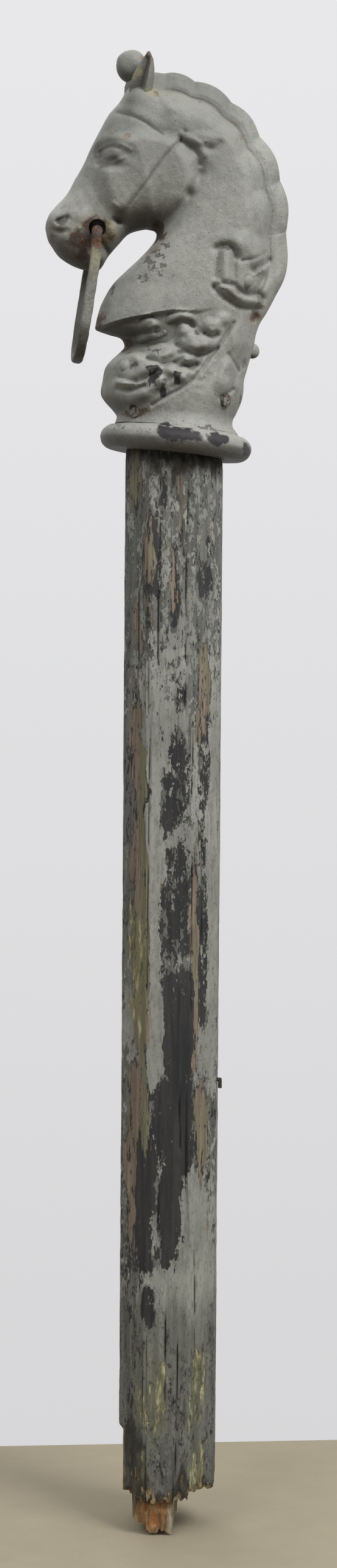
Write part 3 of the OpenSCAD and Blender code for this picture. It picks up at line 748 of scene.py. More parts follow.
CHIPS = [
    (-37, 81, 5, 4, 0.9), (-33, 74.5, 6, 5, 1), (-35.5, 69, 3, 4, 0.8), (-10.7, 72.5, 4, 6, 0.95),
    (-25, 61, 5, 7, 0.9), (-22, 57, 5, 4, 0.7), (-33.6, 99, 3, 4, 0.7), (-55, 81.5, 4, 3, 0.7),
    (-41, 103.6, 3, 2.5, 0.6), (7, 123.7, 3, 2.5, 0.7), (-35, 210, 6, 4, 0.62), (-45, 199, 9, 3.5, 0.62),
    (-51, 190, 5, 5, 0.62), (-38, 189, 7, 4, 0.65), (-45, 181, 9, 4, 0.58), (-55, 174, 6, 4, 0.56),
    (-85, 163, 4, 7, 0.66), (-17, 18, 14, 8, 1), (-2, 17, 14, 7.5, 1), (9, 15, 9, 6, 0.9),
    (33, 17, 8, 6, 1), (41, 16, 8, 6.5, 0.95), (-8, 9, 9, 4, 0.7), (27, 29, 14, 2, 0.6),
    (62, 63, 4, 8, 0.7), (71, 12, 6, 9, 0.8), (-64, 20, 10, 3, 0.5),
]
# painted shade in the eye, under the ear, in the bow and under the neck's edge; grime and shade at the mouth
# and the chin
SHADE_AND_GRIME = [
    (-143, 226, 6, 3.5, 1), (-143, 212, 7, 3, 0.5), (-151, 201, 7, 9, 0.7), (-133, 199, 17, 11, 0.85),
    (-146, 207, 9, 6, 0.6), (-128, 182, 18, 6, 0.95), (-141, 190, 12, 9, 0.8), (-126, 187, 16, 9, 0.85),
    (-112, 185, 11, 8, 0.85), (-150, 203, 6, 11, 0.6), (-93, 206.5, 9, 6, 0.85), (-82, 231, 8, 4, 0.85),
    (-72, 229, 12, 5, 0.7), (-119, 208, 5, 4.5, 1), (-99, 186, 9, 6, 0.8), (-86, 352, 22, 12, 0.42),
    (-89, 116, 10, 6, 0.7), (-68, 104, 5, 6, 0.6), (28, 214, 9, 3, 0.9), (46, 174, 13, 3.5, 0.6),
    (33, 164, 12, 3.5, 0.6), (66, 196, 10, 4, 0.55), (72, 168, 5, 8, 0.7), (-104, 290, 12, 6, 0.75),
    (-112, 299, 5, 10, 0.75), (-104, 298, 14, 12, 0.5), (-95, 196, 9, 9, 0.6),
]
STAIN = [
    (-81, 385, 5, 9, 0.64), (-62, 366, 11, 5, 0.64), (-93, 218, 9, 14, 0.66), (-122, 226, 12, 6, 0.5),
    (-70, 25, 14, 8, 0.4), (-40, 366, 24, 5, 0.4),
]
print("spots of rust, chips, grime and stain:", len(RUST), len(CHIPS), len(SHADE_AND_GRIME), len(STAIN))

# %% [markdown]
# Wear has soft, uneven edges. A spot is an ellipse that fades outward, and noise pushes its border about
# so that no spot looks drawn. Rust also follows the open seam and the worn front of the neck. Those are
# found from the distance to the seam, since a list could not follow such a long line.

# %% Tools for wear


def spots(head, listed):
    """The strongest of a list of soft spots over the side view, with their places pushed about by noise."""
    x = head[:, 0] + 4 * noise(head, 9, 51) + 2.4 * noise(head, 4, 52)
    z = head[:, 2] + 4 * noise(head, 9, 53) + 2.4 * noise(head, 4, 54)
    found = np.zeros(len(head))
    for cx, cz, wide, tall, strength in listed:
        away = np.hypot((x - cx) / (wide + 1), (z - cz) / (tall + 1))
        found = np.maximum(found, strength * smooth(1.5 - away))
    return found


def even_out(mesh, values, rounds):
    """Averages a value at each point with its neighbours along the edges, a few times over."""
    ends = np.empty(2 * len(mesh.edges), np.int32)
    mesh.edges.foreach_get("vertices", ends)
    a, b = ends.reshape(-1, 2).T
    total = len(values)
    count = np.bincount(ends, minlength=total) + 1
    for _ in range(rounds):
        values = (values + np.bincount(a, values[b], total) + np.bincount(b, values[a], total)) / count
    return values


def rust_of(head, near):
    """Rust of the spots, of the seam, and of the worn edge down the front of the neck and the chest."""
    x, z = head[:, 0], head[:, 2]
    front = smooth((-20 - x) / 30) * smooth((212 - z) / 20) * smooth((z - 30) / 20)
    face = smooth((-70 - x) / 20) * smooth((z - 200) / 20)
    seam = np.exp(-((near / (2.2 + 2 * face)) ** 2)) * (0.35 + 0.45 * front + 0.22 * face)
    edge_wear = np.exp(-((near / 13) ** 2)) * front * (0.42 + 0.3 * noise(head, 14, 55))
    return np.maximum(spots(head, RUST) * (near > 2), np.maximum(seam, edge_wear))


mouth = np.array([(-108.0, 30.0, 219.0)])
print("rust at the mouth:", rust_of(mouth, mouth[:, 1]).round(2))

# %% [markdown]
# Painted shade and grime are one mask. Most of it is painted shade: on what faces down, in what lies
# lower than the carving six millimetres round it, under the neck's edge, under the chin, along the mane,
# on the collar's foot and in the ears. The listed spots add painted shade in the eye, under the ear, in
# the bow and under the neck's edge, and grime with shade at the mouth and the chin. It could be painted
# on by hand, point by point. Here each cause is a share from 0 to 1, and the strongest one counts at
# each point, so that one cause can be changed without the others.

# %% Painted shade and grime on the head
HOLLOW_REACH = 6


def grime_of(head, near, facing):
    """The strongest of the causes of painted shade and grime at each point, and of the listed spots."""
    x, z = head[:, 0], head[:, 2]
    ring = np.radians(np.arange(0, 360, 45))
    reach = HOLLOW_REACH * np.stack([np.cos(ring), np.sin(ring)], 1)
    around = np.mean([relief(x + dx, z + dz) for dx, dz in reach], axis=0)
    # painted shade: in recesses, on undersides, under the neck's edge and the jaw, along the mane, on the
    # collar's foot and in the ears
    sunk_shade = 0.48 * smooth((around - relief(x, z)) / 3.5)
    down = smooth((-0.1 - facing) / 0.9)
    below = np.interp(x, *LEDGE.T) - z
    under = 0.8 * smooth(1 - below / 15) * (below > 0) * smooth((-5 - x) / 50)
    jaw = smooth((-38 - x) / 12) * smooth((236 - z) / 10) * smooth((z - 165) / 10)
    chin = 0.75 * np.exp(-((near / 12) ** 2)) * jaw
    crest = to_line(x, z, SECTIONS[MANE_FIRST : MANE_LAST + 1, :2])
    mane = 0.5 * smooth((MANE_WIDTH + 1 - crest) / 5) * smooth((75 - x) / 60)
    rim = 0.8 * smooth((17 - z) / 8)
    cx, cy, half, depth = (np.interp(z, EAR[:, 0], EAR[:, k]) for k in range(1, 5))
    scoop = smooth((0.95 - np.hypot((x - cx) / half, (near - cy) / depth)) / 0.3)
    ears = (0.42 + 0.5 * scoop) * smooth((z - 364) / 8) * smooth((near - 12) / 5)
    return np.max([down, sunk_shade, under, chin, mane, rim, ears, spots(head, SHADE_AND_GRIME)], axis=0)


corner = np.array([(-119.0, 30.0, 208.0)])
print("grime at the corner of the mouth:", grime_of(corner, corner[:, 1], np.zeros(1)).round(2))

# %% [markdown]
# The rows of the skin meet closely at the throat, where they could leave rays in the paint. The surface
# could be built there with other rows. Averaging its thickness with that of the neighbours is simpler
# and keeps the outline. Then the masks are set, and the half is moved to its place on the post.

# %% Set the head on the post
THROAT, CALM_R = (-50, 238), 33


def place_half(mesh):
    """Calms the skin where its rows crowd at the throat, works out the masks in the head's frame, and
    moves the mesh to its place."""
    head = get_points(mesh)
    mesh.update()
    normal = np.empty(3 * len(head), np.float32)
    mesh.vertices.foreach_get("normal", normal)
    near = np.abs(head[:, 1])
    calm = smooth((CALM_R - np.hypot(head[:, 0] - THROAT[0], head[:, 2] - THROAT[1])) / 13)
    calm = calm * smooth((near - 4) / 8)
    head[:, 1] += calm * (even_out(mesh, head[:, 1], 120) - head[:, 1])
    facing = even_out(mesh, normal[2::3], 12)
    facing = facing + calm * (even_out(mesh, facing, 80) - facing)
    set_mask(mesh, "rust", rust_of(head, near))
    set_mask(mesh, "chip", spots(head, CHIPS))
    set_mask(mesh, "stain", spots(head, STAIN))
    set_mask(mesh, "up", facing)
    # painted shade, with some grime at the mouth and the chin
    set_mask(mesh, "grime", grime_of(head, near, facing))
    # the upper face is darker: partly a dull film, partly painted shade
    set_mask(mesh, "dull", smooth((head[:, 2] - 245) / 70) * smooth((70 - head[:, 0]) / 70))
    set_points(mesh, np.clip(to_world(head), cad_low, cad_high))


for key, mesh in halves.items():
    place_half(mesh)
    show(mesh, "iron_head_" + key, "standing_post", "painted_iron", f"head_{key}_half")

# %% [markdown]
# ## The tie link
# The link is a smith's work: half-inch round bar bent into a long loop, left round where it turns in
# the mouth and hammered flat down the legs, with its ends lapped and welded near the bottom. A curve
# with a bevel could draw it, but only with one section all the way. Here one section is carried along a
# closed path, and it goes from round to flat as the path leaves the mouth.

# %% Path of the link
BAR_R, LEG_HALF, LEG_Y, BEND, DROP = 6, 3.5, 36.5, 10, 95


def link_path():
    """Points of the closed loop: half the bar, a bend, a leg and a quarter circle, then all mirrored."""
    bar = LEG_Y - BEND
    bend = np.radians(np.linspace(90, 0, 14))
    bottom = np.radians(np.linspace(0, -180, 60))[:30]
    y = np.concatenate([
        np.linspace(0, bar, 12), bar + BEND * np.cos(bend), np.full(40, LEG_Y), LEG_Y * np.cos(bottom)])
    z = np.concatenate([
        np.zeros(12), -BEND + BEND * np.sin(bend), np.linspace(-BEND - 2, -DROP + 2, 40),
        -DROP + LEG_Y * np.sin(bottom)])
    return np.concatenate([y, -y[:0:-1]]), np.concatenate([z, z[:0:-1]])


print("path of the link:", len(link_path()[0]), "points")

# %% [markdown]
# The section is a round that gets squeezed. Hammer marks and the lap of the weld only take iron away, so
# the dents go inward. One leg is slightly out of line, as use has left it. The loop could be built at
# the angle where it rests. It is shaped hanging straight instead, which keeps the formula short, and
# then turned in the mouth to its place.

# %% The link
LINK_SWING = math.radians(3)
# lap of the weld on the near leg, and half of how far that leg is bent out of line
LAP_Z, NEAR_LEG_HALF_OUT = -108, 1.2


def link_mesh():
    """Rings along the path: each is a circle whose height is held to the leg's half thickness by a soft
    limit, dented a little by the hammer."""
    y, z = link_path()
    ahead_y, ahead_z = np.roll(y, -1) - np.roll(y, 1), np.roll(z, -1) - np.roll(z, 1)
    length = np.hypot(ahead_y, ahead_z)
    side = np.stack([0 * y, -ahead_z / length, ahead_y / length], -1)
    flat = smooth((-z - 2) / 16)
    toe = smooth((-DROP + 8 - z) / 22)
    limit = 1 / ((1 - toe + toe * 0.62) / LEG_HALF * flat + (1 - flat) / 60)
    power = (6 - 3.6 * toe)[:, None]
    a = np.radians(np.arange(0, 360, 11.25))
    tall = BAR_R * np.sin(a)[None, :]
    tall = tall / (1 + np.abs(tall / limit[:, None]) ** power) ** (1 / power)
    wide = BAR_R * np.cos(a)[None, :] * (1 - 0.04 * flat[:, None])
    path = np.stack([0 * y, y, z], -1)[:, None, :]
    rows = path + tall[..., None] * side[:, None, :] + wide[..., None] * np.array([1, 0, 0])
    outward = rows - path
    outward = outward / np.linalg.norm(outward, axis=-1, keepdims=True)
    lap = np.exp(-(((z - LAP_Z) / 9) ** 2))[:, None] * (y < 0)[:, None]
    dent = -0.35 + 0.3 * noise(rows, 7, 11) + 0.15 * noise(rows, 2.5, 12)
    dent = dent - 0.5 * lap * (noise(rows, 4, 13) > 0.1)
    rows = rows + np.minimum(dent, 0)[..., None] * outward
    rows[..., 0] += NEAR_LEG_HALF_OUT * (1 - rows[..., 1] / LEG_Y) * smooth((-4 - rows[..., 2]) / 30)
    count, width = rows.shape[:2]
    return rows.reshape(-1, 3), grid_faces(count, width, closed=True, looped=True)


link = make_mesh("tie_link_iron", *link_mesh())
local = get_points(link)
down = -local[:, 2]
set_mask(link, "rust", smooth((34 - down) / 26) + 0.35 * smooth((down - 108) / 12))
set_mask(link, "moss", smooth((58 - down) / 36) * smooth((down - 12) / 12))
# darker towards the lower end, and on the far leg, where it is a painted shade
set_mask(link, "dark", smooth((down - 82) / 40) + 0.5 * (local[:, 1] > 0))
cosine, sine = math.cos(LINK_SWING), math.sin(LINK_SWING)
swung = local @ np.array([(cosine, 0, sine), (0, 1, 0), (-sine, 0, cosine)]).T + LINK_AXIS
set_points(link, to_world(swung))
show(link, "tie_link_iron", "tie_link", "link_iron", "mouth_link")

# %% [markdown]
# ## The timber post
# The post is a squared softwood timber with its corners planed off, so it has eight sides. Its grain
# has opened in long cracks, the corners are worn, and the part that stood in the ground has rotted
# and broken: a slab is gone from one side and the heart wood ends in splinters. A box with bump could
# stand for it from afar, but the edges and the foot would stay straight. So it is one sheet again,
# rings up the outside from the broken end, in over the shoulder and up the tenon.

# %% Outline of the post
POST_WIDTH, POST_CHAMFER, POST_TURN = 102, 27.5, math.radians(-8)
AROUND = 240


def outline():
    """The eight-sided outline and its outward directions: points evenly spaced along the sides, averaged
    with their neighbours so that the corners are slightly rounded."""
    half = POST_WIDTH / 2 - 0.25
    cut = POST_WIDTH / 2 - POST_CHAMFER
    loop = np.array([(half, -cut), (half, cut), (cut, half), (-cut, half), (-half, cut), (-half, -cut),
                     (-cut, -half), (cut, -half), (half, -cut)])
    run = np.concatenate([[0], np.cumsum(np.linalg.norm(np.diff(loop, axis=0), axis=1))])
    at = np.linspace(0, run[-1], AROUND, endpoint=False)
    p = np.stack([np.interp(at, run, loop[:, k]) for k in range(2)], -1)
    for _ in range(3):
        p = 0.25 * np.roll(p, 1, 0) + 0.5 * p + 0.25 * np.roll(p, -1, 0)
    tangent = np.roll(p, -1, 0) - np.roll(p, 1, 0)
    out = np.stack([tangent[:, 1], -tangent[:, 0]], -1)
    return p, out / np.linalg.norm(out, axis=1, keepdims=True)


def turned(x, y):
    """From the post's own sides to the shared frame: the post stands slightly turned under the head."""
    cosine, sine = math.cos(POST_TURN), math.sin(POST_TURN)
    return x * cosine - y * sine, x * sine + y * cosine


base, base_out = outline()
print("outline of the post:", np.ptp(base, axis=0).round(1), "mm")

# %% [markdown]
# The foot has rotted in the ground and broken off unevenly. Each break is a tilted plane over a part of
# the section. Solid tools could cut them, but would leave flat faces. As a height over the section they
# can be torn into fibres, whose lengths differ from one small cell to the next.

# %% The broken foot
# wood gone from the foot: corner x and y, sizes, height of the break, and its slopes, as in the exact post
BREAKS = [
    (-60, -60, 14, 120, 116, 2, 4), (-60, -60, 28, 120, 38, 3, 10), (-34, -60, 16, 62, 13, -8, 8),
    (-34, 0, 22, 60, 22, 9, -6), (-18, 12, 32, 50, 8, 14, 4), (8, -60, 16, 72, 33, 5, -9),
    (10, 10, 20, 50, 20, 8, 6), (22, -60, 40, 120, 43, -4, -7), (-20, -60, 30, 34, 2, -12, 4),
]


def foot(x, y):
    """Height of the broken end over the post's section: the highest of the breaks that reach there,
    torn into fibres of random length."""
    height = np.zeros(np.shape(x))
    for bx, by, wide, deep, level, tilt_x, tilt_y in BREAKS:
        plane = level + (y - by) * math.tan(math.radians(tilt_x)) - (x - bx) * math.tan(math.radians(tilt_y))
        inside = (x >= bx) & (x <= bx + wide) & (y >= by) & (y <= by + deep)
        height = np.where(inside, np.maximum(height, plane), height)
    at = np.stack([x, y, 0 * x], -1)
    fibre = noise(np.floor(at / (3.2, 4.1, 1)) * 9.7, 5, 21)
    return np.maximum(0, height + 5 * (fibre + 1) + 4 * (noise(at, 9, 22) + 1) - 4.5)


print("highest break on the outline:", foot(base[:, 0], base[:, 1]).max().round(1), "mm")

# %% [markdown]
# The weathered side is the outline drawn in by an inset. A bump in the finish could draw the grain, but
# it would leave the edges straight. So slow and fine noises, stretched along the grain, groove the
# surface itself, the cracks are narrow valleys that wander a little, and the edges of the breaks are
# ragged. The share of broken wood and of crack is kept at each point for the finish.

# %% Rings of the post
# long cracks of the front, turned about on the back: x, lowest and highest z
CRACKS = [
    (0.7, 1039, 1128), (3.9, 50, 230), (4.9, 380, 480), (39.9, 327, 358), (-32.7, 112, 215),
    (16.8, 540, 860), (-29.5, 560, 860), (-8.5, 126, 250), (-19.5, 900, 1136), (8.2, 850, 1123),
    (-40, 900, 1010), (28, 600, 760), (24, 150, 320), (-16, 300, 420),
]
CRACK_HALF, CRACK_DEPTH = 0.95, 2.4
# the slab that is gone from one side: height of its end, x beyond which wood is lost, x that is left
SLAB_TOP, SLAB_LOST, SLAB_LEFT = 115, -46, -45.4


def crack_share(x, y, z, at):
    """The strongest crack at each point, from 0 to 1: a bell over the distance to its wandering line."""
    crack = np.zeros(z.shape)
    for cx, lowest, highest in CRACKS:
        wander = cx + 1.2 * noise(np.stack([0 * z + cx, 0 * z, z], -1), 60, 27)
        window = smooth((z - lowest) / 25) * smooth((highest - z) / 25)
        crack = np.maximum(crack, window * np.exp(-(((x - wander) / CRACK_HALF) ** 2)) * (y < -5))
        crack = np.maximum(crack, window * np.exp(-(((x + wander) / CRACK_HALF) ** 2)) * (y > 5))
    return crack * smooth(0.9 + noise(at * (1, 1, 0.4), 7, 32))


def post_rows():
    """Rings of the post in its own frame, with the shares of broken wood and of crack at each point."""
    bottom = foot(base[:, 0] * 0.9, base[:, 1] * 0.9)
    low = np.linspace(0, 1, 78) * 0.13
    share = np.concatenate([low, np.linspace(low[-1], 1, 272)[1:]])[:, None]
    x, y = turned(base[:, 0], base[:, 1])
    top = POST_LENGTH - x * math.tan(LEAN) - 0.3
    z = bottom + (top - bottom) * share
    p = np.repeat(base[None], len(share), 0)
    at = np.concatenate([p, z[..., None]], -1)
    # grain, worn corners and cracks
    inset = 0.9 * np.abs(noise(at * (1, 1, 0.05), 9, 23)) + 0.5 * np.abs(noise(at * (1, 1, 0.12), 3.4, 24))
    inset += 0.35 * np.abs(noise(at * (1, 1, 0.5), 2.6, 25))
    corner = np.abs(np.abs(np.abs(base[:, 0]) - np.abs(base[:, 1])) - POST_CHAMFER) < 4
    inset += corner * 2.6 * smooth((noise(at * (1, 1, 0.14), 9, 26) - 0.15) / 0.5)
    crack = crack_share(x, y, z, at)
    inset += CRACK_DEPTH * crack
    # the frayed shoulder and the torn foot
    ragged = 5 * noise(at * (1, 1, 0.4), 5, 28) + 4 * noise(at * (1, 1, 0.2), 2.4, 29)
    inset += (4 + 3 * noise(at, 8, 30)) * smooth((z - top + 9 + ragged) / 9)
    torn = (np.abs(x + 12) < 25) & (y < 0)
    broken = smooth((37 + ragged - z) / 2.5) * torn
    broken = np.maximum(broken, smooth((bottom + 5 + ragged - z) / 5))
    inset += broken * (5.5 + 2 * noise(at, 6, 31))
    p = p - base_out[None] * inset[..., None]
    # the missing slab
    slab = smooth((SLAB_TOP + 1.6 * ragged - z) / 2.5)
    p[..., 0] = np.where(p[..., 0] < SLAB_LOST, p[..., 0] + slab * (SLAB_LEFT - p[..., 0]), p[..., 0])
    return p, z, np.maximum(broken, 0.5 * slab * (base[:, 0] < -44)), crack


flank, flank_z, broken, crack = post_rows()
print("post:", len(flank), "rings of", AROUND, "points")

# %% [markdown]
# The tenon is the round stub on top that fills the head's socket. A new cylinder could be fused on. The
# rings simply go on instead: from the last ring of the side in over the shoulder, up the tenon and to a
# point on its top, and at the other end in over the broken foot. So the post is one closed mesh.

# %% The post
TENON_R, TENON_LENGTH, TENON_BEVEL = 42, 105, 1.5


def post_mesh():
    """Points and faces of the whole post: a fan and rings of the broken end, the weathered rings, the
    shoulder, the tenon and a fan on top, with the two shares for the finish."""
    inward = np.linspace(0, 1, 24)[2:-1]
    end = flank[:1] * inward[:, None, None]
    blend = smooth((1 - inward) / 0.12)[:, None]
    end_z = blend * foot(end[..., 0], end[..., 1]) + (1 - blend) * flank_z[:1]
    rows = np.concatenate([np.stack([*turned(end[..., 0], end[..., 1]), end_z], -1),
                           np.stack([*turned(flank[..., 0], flank[..., 1]), flank_z], -1)])
    angle = np.arctan2(rows[-1, :, 1], rows[-1, :, 0])
    rim = np.stack([TENON_R * np.cos(angle), TENON_R * np.sin(angle), 0 * angle], -1)
    levels = np.array([0, 1, 30, 70, TENON_LENGTH - TENON_BEVEL, TENON_LENGTH])
    narrow = np.array([1, 1, 1, 1, 1, 1 - TENON_BEVEL / TENON_R])
    tenon = rim[None] * narrow[:, None, None] + levels[:, None, None] * np.array([0, 0, 1])
    tenon = tenon @ HEAD.T + (0, 0, POST_LENGTH)
    shoulder = rows[-1:] + (tenon[:1] - rows[-1:]) * np.array([0.3, 0.7])[:, None, None]
    rows = np.concatenate([rows, shoulder, tenon])
    count = len(rows)
    foot_tip = (0, 0, foot(np.zeros(1), np.zeros(1))[0])
    tenon_tip = HEAD @ (0, 0, TENON_LENGTH) + (0, 0, POST_LENGTH)
    points = np.concatenate([rows.reshape(-1, 3), [foot_tip, tenon_tip]])
    ring = np.append(np.arange(AROUND), 0)
    faces = grid_faces(count, AROUND, closed=True)
    faces += fan(count * AROUND, ring[::-1]) + fan(count * AROUND + 1, ring + (count - 1) * AROUND)
    masks = np.zeros((2, count, AROUND))
    masks[0, : len(end)] = 1
    masks[:, len(end) : len(end) + len(flank)] = broken, crack
    return points, faces, np.concatenate([masks.reshape(2, -1), [(1, 0), (0, 0)]], axis=1)


points, faces, post_masks = post_mesh()
post = make_mesh("weathered_post", points, faces)
print("post: lowest", round(points[:, 2].min(), 2), "mm, faces", len(faces))

# %% [markdown]
# ## Layers on the post
# The post was painted black long ago, then dark grey, then the grey-green of the head. The coats have
# flaked in upright patches. Where the weather reached the wood it is brown or green, and lichen grows
# near the ground. Noise could place the wear, but alone it would spread it evenly, so the patches are
# placed in millimetres, and the noise in the finish only tears their edges.

# %% Patches on the post
# centre x, centre z, half width, half height
OLD = [
    (-2.7, 772, 15, 29), (3.3, 811, 8.7, 14), (-34.5, 769, 4.3, 27), (-2, 680, 15, 32),
    (-8.6, 635, 9.4, 29), (10.3, 631, 3.1, 17), (6.2, 572, 14, 13), (4.8, 527, 12.6, 38),
    (-0.8, 436, 19, 56), (-1.6, 329, 11, 58), (-30.7, 362, 9.6, 62), (29.9, 765, 6, 57), (31, 628, 6, 67),
    (28.8, 1013, 5.2, 20), (-14.9, 1083, 3.1, 6), (-25, 238, 4, 14), (3.7, 884, 4.7, 14),
    (-24.7, 1018, 4, 36), (-6.3, 970, 4.7, 9),
]
BARE = [
    (-39, 800, 6, 60), (-36, 690, 5, 70), (-35, 590, 5, 90), (-34.4, 462, 7, 44), (-44, 347, 3.5, 80),
    (29.8, 415, 4, 36), (-29.8, 1025, 2.5, 50), (-42, 1102, 2, 22), (28, 899, 5, 24), (27, 860, 3, 20),
    (-39.6, 940, 3, 14), (-5.2, 992, 1.2, 34), (1.6, 1076, 1, 41), (20, 600, 1.5, 120),
]
KEEP = [
    (24.2, 325, 17.9, 58), (38, 705, 3, 148), (-44.8, 531, 6.4, 32), (-19.1, 529, 9.4, 37),
    (-22.9, 711, 5.6, 143), (-33, 837, 7.3, 16), (15, 250, 30, 30),
]
LICHEN = [
    (-14.5, 147, 9.5, 27), (25.4, 162, 6, 37), (-30, 155, 6, 29), (-30.3, 71, 3.6, 23), (24.8, 73, 7, 19),
    (-40, 590, 5, 60),
]
# the last patch, at the top under the collar, is partly painted shade
SOIL_AND_COLLAR_SHADE = [
    (-38, 104, 7, 18), (-36, 60, 10, 20), (5, 56, 7, 18), (-2.5, 42, 48, 8), (0, 1128, 60, 16),
]
PATCH_POWER = 2.6


def patches(at, listed):
    """The strongest of a list of soft upright patches: on the front by x and z, on the back turned about.
    Each fades with a power of the distance that makes it squarer than an ellipse."""
    drawn = at * (1, 1, 0.25)
    x = np.where(at[:, 1] < 0, at[:, 0], -at[:, 0]) + 4 * noise(drawn, 11, 41) + 3 * noise(drawn, 5, 42)
    z = at[:, 2] + 30 * noise(drawn, 14, 43) + 16 * noise(drawn, 6, 44)
    found = np.zeros(len(at))
    for cx, cz, wide, tall in listed:
        away = np.abs((x - cx) / (wide + 2)) ** PATCH_POWER + np.abs((z - cz) / (tall + 8)) ** PATCH_POWER
        found = np.maximum(found, smooth((1.45 - away ** (1 / PATCH_POWER)) / 0.9))
    return found


print("patches of old paint:", len(OLD), "of bare wood:", len(BARE))

# %% [markdown]
# Besides the patches, some wear depends on the place alone: the damp part near the ground, the drier top,
# the left edge, where less of the top coat is left, and the split side of the foot. It could be worked
# out in the finish, but as masks all the places stand together, and the finish reads them by name.

# %% Masks on the post
at = get_points(post)
height = at[:, 2]
set_mask(post, "old", patches(at, OLD) * (1 - 0.42 * smooth((height - 520) / 120)))
for name, listed in (("bare", BARE), ("keep", KEEP), ("lichen", LICHEN), ("soil", SOIL_AND_COLLAR_SHADE)):
    set_mask(post, name, patches(at, listed))
set_mask(post, "broken", post_masks[0])
set_mask(post, "crack", post_masks[1])
set_mask(post, "low", smooth((275 + 30 * noise(at * (1, 1, 0.3), 9, 45) - height) / 60))
set_mask(post, "high", smooth((height - 800) / 140))
set_mask(post, "foot", smooth((95 + 26 * noise(at * (1, 1, 0.5), 11, 46) - height) / 70))
set_mask(post, "left", smooth((-34 - at[:, 0]) / 7))
set_mask(post, "pale", smooth((at[:, 0] + 5) / 5))
set_points(post, at * MM)
show(post, "weathered_post", "standing_post", "timber", "post")

# %% [markdown]
# ## Finishes
# Every finish is built from noises on the object's own coordinates and from the masks above. Nodes could
# be joined one at a time, but a recipe of many coats would be hard to follow. A small helper keeps the
# recipes short: each call adds a node, joins its inputs, and returns its output.

# %% A helper for finishes


class Finish:
    """A material whose nodes are added one call at a time."""

    def __init__(self, name):
        self.material = bpy.data.materials.new(name)
        self.material.use_nodes = True
        self.tree = self.material.node_tree
        self.tree.nodes.clear()
        self.shader = self.tree.nodes.new("ShaderNodeBsdfPrincipled")
        end = self.tree.nodes.new("ShaderNodeOutputMaterial")
        self.tree.links.new(self.shader.outputs[0], end.inputs[0])
        self.place = self.tree.nodes.new("ShaderNodeTexCoord").outputs["Object"]

    def put(self, socket, value):
        """Joins another node's output to an input, or sets the input to a number or a colour."""
        if isinstance(value, bpy.types.NodeSocket):
            self.tree.links.new(value, socket)
        elif hasattr(socket.default_value, "__len__") and len(value) == 3 and len(socket.default_value) == 4:
            socket.default_value = (*value, 1)
        else:
            socket.default_value = value

    def noise(self, size_mm, stretch=1, detail=4, rough=0.6, shift=0):
        """Noise about 0.5 with features of that size, drawn out upright by the stretch."""
        at = self.tree.nodes.new("ShaderNodeMapping")
        self.put(at.inputs["Vector"], self.place)
        at.inputs["Location"].default_value = (shift, 2 * shift, 3 * shift)
        at.inputs["Scale"].default_value = (1000 / size_mm, 1000 / size_mm, 1000 / size_mm / stretch)
        made = self.tree.nodes.new("ShaderNodeTexNoise")
        self.put(made.inputs["Vector"], at.outputs[0])
        self.put(made.inputs["Scale"], 1)
        self.put(made.inputs["Detail"], detail)
        self.put(made.inputs["Roughness"], rough)
        return made.outputs[0]

    def mask(self, name):
        """One of the numbers kept at each vertex."""
        made = self.tree.nodes.new("ShaderNodeAttribute")
        made.attribute_name = name
        return made.outputs["Fac"]

    def sum(self, *terms):
        """Adds up pairs of a value and a weight."""
        total = 0.0
        for value, weight in terms:
            made = self.tree.nodes.new("ShaderNodeMath")
            made.operation = "MULTIPLY_ADD"
            self.put(made.inputs[0], value)
            self.put(made.inputs[1], weight)
            self.put(made.inputs[2], total)
            total = made.outputs[0]
        return total

    def times(self, a, b):
        """One value times another."""
        made = self.tree.nodes.new("ShaderNodeMath")
        made.operation = "MULTIPLY"
        self.put(made.inputs[0], a)
        self.put(made.inputs[1], b)
        return made.outputs[0]

    def ease(self, value, low, high):
        """Eases from 0 to 1 as a value goes from low to high."""
        made = self.tree.nodes.new("ShaderNodeMapRange")
        made.interpolation_type = "SMOOTHSTEP"
        self.put(made.inputs["Value"], value)
        self.put(made.inputs["From Min"], low)
        self.put(made.inputs["From Max"], high)
        return made.outputs[0]

    def mix(self, share, a, b):
        """Goes from one colour to another as the share goes from 0 to 1."""
        made = self.tree.nodes.new("ShaderNodeMix")
        made.data_type = "RGBA"
        self.put(made.inputs[0], share)
        self.put(made.inputs[6], a)
        self.put(made.inputs[7], b)
        return made.outputs[2]

    def over(self, under, color, value, low, high, most=1):
        """Lays a colour over another as a value goes from low to high, up to that share of it."""
        share = self.ease(value, low, high)
        return self.mix(self.times(share, most) if most < 1 else share, under, color)

    def done(self, color, rough, bump=None, depth_mm=0.3):
        """Joins the colour, the roughness and the bump to the shader."""
        self.put(self.shader.inputs["Base Color"], color)
        self.put(self.shader.inputs["Roughness"], rough)
        self.put(self.shader.inputs["Specular IOR Level"], 0.35)
        if bump is not None:
            made = self.tree.nodes.new("ShaderNodeBump")
            self.put(made.inputs["Height"], bump)
            self.put(made.inputs["Distance"], depth_mm * MM)
            self.put(made.inputs["Strength"], 1.0)
            self.put(self.shader.inputs["Normal"], made.outputs[0])
        return self.material


print("calls of the helper:", [name for name in vars(Finish) if not name.startswith("_")])

# %% [markdown]
# The head's paint is a chalky grey-green. What faces up is paler, partly dust and partly a painted
# light; what faces down is darker, a painted shade; and the upper face is darker, partly a dull film and
# partly a painted shade. It could be one flat colour, but that would look like new plastic, so slow and
# fine noises vary it.

